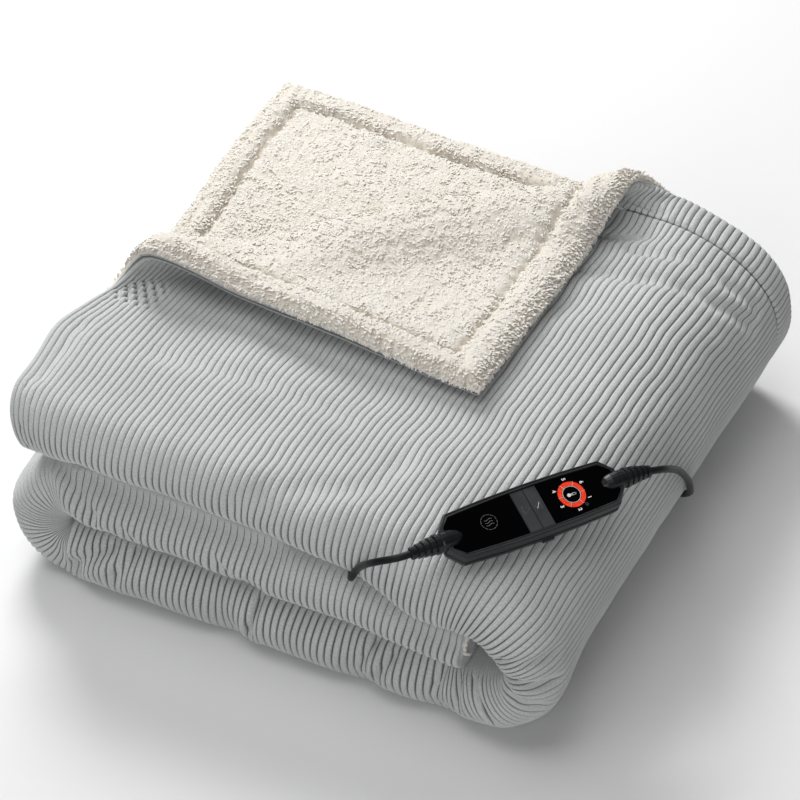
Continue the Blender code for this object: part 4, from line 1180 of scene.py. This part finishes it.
def join_marks(name, pieces, material):
    """Joins flat marks into one piece, carries it onto the controller and finishes it."""
    activate(pieces[0])
    for piece in pieces:
        piece.select_set(True)
    bpy.ops.object.join()
    marks = bpy.context.object
    marks.name = name
    marks.data.transform(TO_CONTROLLER)
    marks.data.materials.clear()
    marks.data.materials.append(material)
    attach(marks, "blanket")
    print(name, "faces", len(marks.data.polygons))


def thin_line(points, width, closed=False):
    """A thin round line through points of the controller's face, made a mesh."""
    activate(round_curve("thin_line", points, width, 1, closed))
    bpy.ops.object.convert(target="MESH")
    return bpy.context.object


def around(centre, radius, angle, level):
    return (centre[0] + radius * math.cos(angle), centre[1] + radius * math.sin(angle), level)


def round_line(centre, radius, width, level, first=0, last=360, count=40):
    """An arc, or a whole ring, of a thin line."""
    turns = np.radians(np.linspace(first, last, count + 1))
    points = [around(centre, radius, turn, level) for turn in turns]
    whole = last - first == 360
    return thin_line(points[:-1] if whole else points, width, whole)


# %% Lit ring of the dial
DIAL = (0.0307, 0.0005)
LED_INNER, LED_OUTER, LED_THICK = 0.0068, 0.0099, 0.00016
STEPS, SEGMENT_DEGREES = 6, 57
SORTED_FROM = (0.02, -0.03, 0.01)


def lit_segment():
    """One step of the ring: a small upright rectangle, spun about the middle of the dial."""
    deselect_all()
    bpy.ops.mesh.primitive_plane_add(
        size=1, location=((LED_INNER + LED_OUTER) / 2, 0, 0), rotation=(math.pi / 2, 0, 0)
    )
    bpy.context.object.scale = (LED_OUTER - LED_INNER, LED_THICK, 1)
    segment = settle_place()
    bpy.ops.object.mode_set(mode="EDIT")
    bpy.ops.mesh.select_all(action="SELECT")
    bpy.ops.mesh.spin(
        steps=12, angle=math.radians(SEGMENT_DEGREES), center=(0, 0, 0), axis=(0, 0, 1)
    )
    bpy.ops.mesh.select_all(action="SELECT")
    bpy.ops.mesh.normals_make_consistent(inside=False)
    # The spin adds its faces in an order that differs from run to run, so they are sorted.
    bpy.context.scene.cursor.location = SORTED_FROM
    bpy.ops.mesh.sort_elements(type="CURSOR_DISTANCE", elements={"FACE"})
    bpy.context.scene.cursor.location = (0, 0, 0)
    bpy.ops.object.mode_set(mode="OBJECT")
    return segment


segments = [lit_segment()]
for step in range(1, STEPS):
    copy = segments[0].copy()
    copy.data = segments[0].data.copy()
    copy.data.transform(Matrix.Rotation(math.radians(360 / STEPS * step), 4, "Z"))
    bpy.context.scene.collection.objects.link(copy)
    segments.append(copy)
for segment in segments:
    segment.data.transform(Matrix.Translation((*DIAL, GLASS + 0.00004)))

led_red = plain("led_red", (0.55, 0.03, 0.008), 0.3, [("Emission Strength", 0.48)])
grains = noise(led_red, pattern_space(led_red), 0.0014, 3, 0.7)
vary(led_red, "Emission Color", grains, (
    (0.34, (0.34, 0.008, 0.003)), (0.5, (0.82, 0.026, 0.007)), (0.68, (1.0, 0.14, 0.040)),
))
bump(led_red, (grains, 0.0001, 0.3))
join_marks("heat_ring", segments, led_red)


# %% Printed marks
def ink(name, colour, darker, lighter):
    material = plain(name, colour, 0.5)
    worn = noise(material, pattern_space(material), 0.0012, 2)
    vary(material, "Base Color", worn, ((0.3, darker), (0.7, lighter)))
    return material


def on_dial(x, y):
    return (DIAL[0] + x, DIAL[1] + y, GLASS)


def numeral(digit):
    turn = math.radians(30 - 360 / STEPS * digit)
    deselect_all()
    bpy.ops.object.text_add(
        location=around(DIAL, DIGIT_RADIUS, turn, GLASS - 0.00002), rotation=(0, 0, -math.pi / 2)
    )
    figure = bpy.context.object.data
    figure.body = str(digit)
    figure.size, figure.extrude, figure.offset = 0.0037, 0.00006, 0.00014
    figure.align_x, figure.align_y = "CENTER", "CENTER"
    bpy.ops.object.convert(target="MESH")
    return settle_place()


DIGIT_RADIUS, SPOKE_RADII, THIN = 0.0124, (0.0062, 0.0102), 0.00026
ink_white = ink("ink_white", (0.80, 0.80, 0.79), (0.70, 0.70, 0.69), (0.84, 0.84, 0.83))
ink_grey = ink("ink_grey", (0.16, 0.165, 0.17), (0.12, 0.124, 0.13), (0.20, 0.205, 0.21))

marks = [numeral(digit) for digit in range(1, STEPS + 1)]
for step in range(STEPS):
    way = math.radians(360 / STEPS * step)
    marks.append(thin_line([around(DIAL, r, way, GLASS + 0.0001) for r in SPOKE_RADII], THIN))
marks.append(round_line(DIAL, 0.0063, 0.00036, GLASS + 0.00005))
deselect_all()
bpy.ops.mesh.primitive_cylinder_add(
    vertices=28, radius=0.00135, depth=0.00018, location=on_dial(-0.0021, 0)
)
marks.append(settle_place())
tube_end = [on_dial(0.0026 + 0.0007 * math.cos(t), 0.0007 * math.sin(t))
            for t in np.radians(np.linspace(-90, 90, 9))]
tube = [on_dial(-0.0010, -0.0007)] + tube_end + [on_dial(-0.0010, 0.0007)]
marks.append(thin_line(tube, 0.00028))
marks.append(thin_line([on_dial(-0.0016, 0), on_dial(0.0009, 0)], 0.0006))
marks.append(thin_line([(0.0064, 0.0030, KEY_TOP), (0.0034, -0.0010, KEY_TOP)], 0.00034))
join_marks("dial_marks", marks, ink_white)

# %% Faint marks: an arrow on each key, warm waves in a dashed ring, and a clock
WAVES_MIDDLE, CLOCK = (-0.0330, 0.0015), on_dial(0.0066, -0.0104)
faint = []
for way, middle in ((1, -0.0046), (-1, 0.0048)):
    foot = middle - way * 0.0022
    corners = [(foot, 0.0042), (foot, -0.0022), (middle + way * 0.0026, 0.0010)]
    faint.append(thin_line([(*corner, KEY_TOP) for corner in corners], 0.00024, closed=True))
for first in range(3, 360, 30):
    faint.append(round_line(WAVES_MIDDLE, 0.0057, 0.00030, GLASS, first, first + 24, 5))
for lane in (-0.0020, 0.0, 0.0020):
    wave = [(WAVES_MIDDLE[0] + s * 0.0030,
             WAVES_MIDDLE[1] + lane + 0.0005 * math.sin(s * math.pi), GLASS)
            for s in np.linspace(-1, 1, 13)]
    faint.append(thin_line(wave, 0.00034))
faint.append(round_line(CLOCK, 0.0010, 0.00022, GLASS, count=16))
faint.append(thin_line([CLOCK, (CLOCK[0] + 0.0006, CLOCK[1], GLASS)], 0.00022))
join_marks("faint_marks", faint, ink_grey)

# %% [markdown]
# ## The moulded beads round the controller's rim
#
# The frame round the two windows has two fine raised beads, which draw thin light lines along
# it. On the real housing they are part of the mould. Here each is a thin round line at a steady
# distance from the edge, half sunk in the cover.


# %% Rim bead
RIM_LINES = ((0.0017, 0.0009), (0.0036, 0.0007))  # inset from the edge, width


def half_width(x, inset):
    """Half the controller's width at x: slightly bowed long sides and slanted ends."""
    middle = BOX_WIDTH / 2 - BOX_BOW * (x / (BOX_LENGTH / 2)) ** 2
    slant = (abs(x) - BOX_LENGTH / 2 + BOX_CORNER) / BOX_CORNER
    return middle - max(0.0, slant) * BOX_DROP - inset


def rim_path(inset, level):
    end = BOX_LENGTH / 2 - inset
    shoulder = BOX_LENGTH / 2 - BOX_CORNER - inset * 0.4
    stops = [-end] + list(np.linspace(-shoulder, shoulder, 15)) + [end]
    side = [(x, half_width(x, inset), level) for x in stops]
    return side[::-1] + [(x, -y, z) for x, y, z in side]


beads = [thin_line(rim_path(inset, RIM_TOP), width, closed=True) for inset, width in RIM_LINES]
join_marks("rim_bead", beads, dark_plastic)
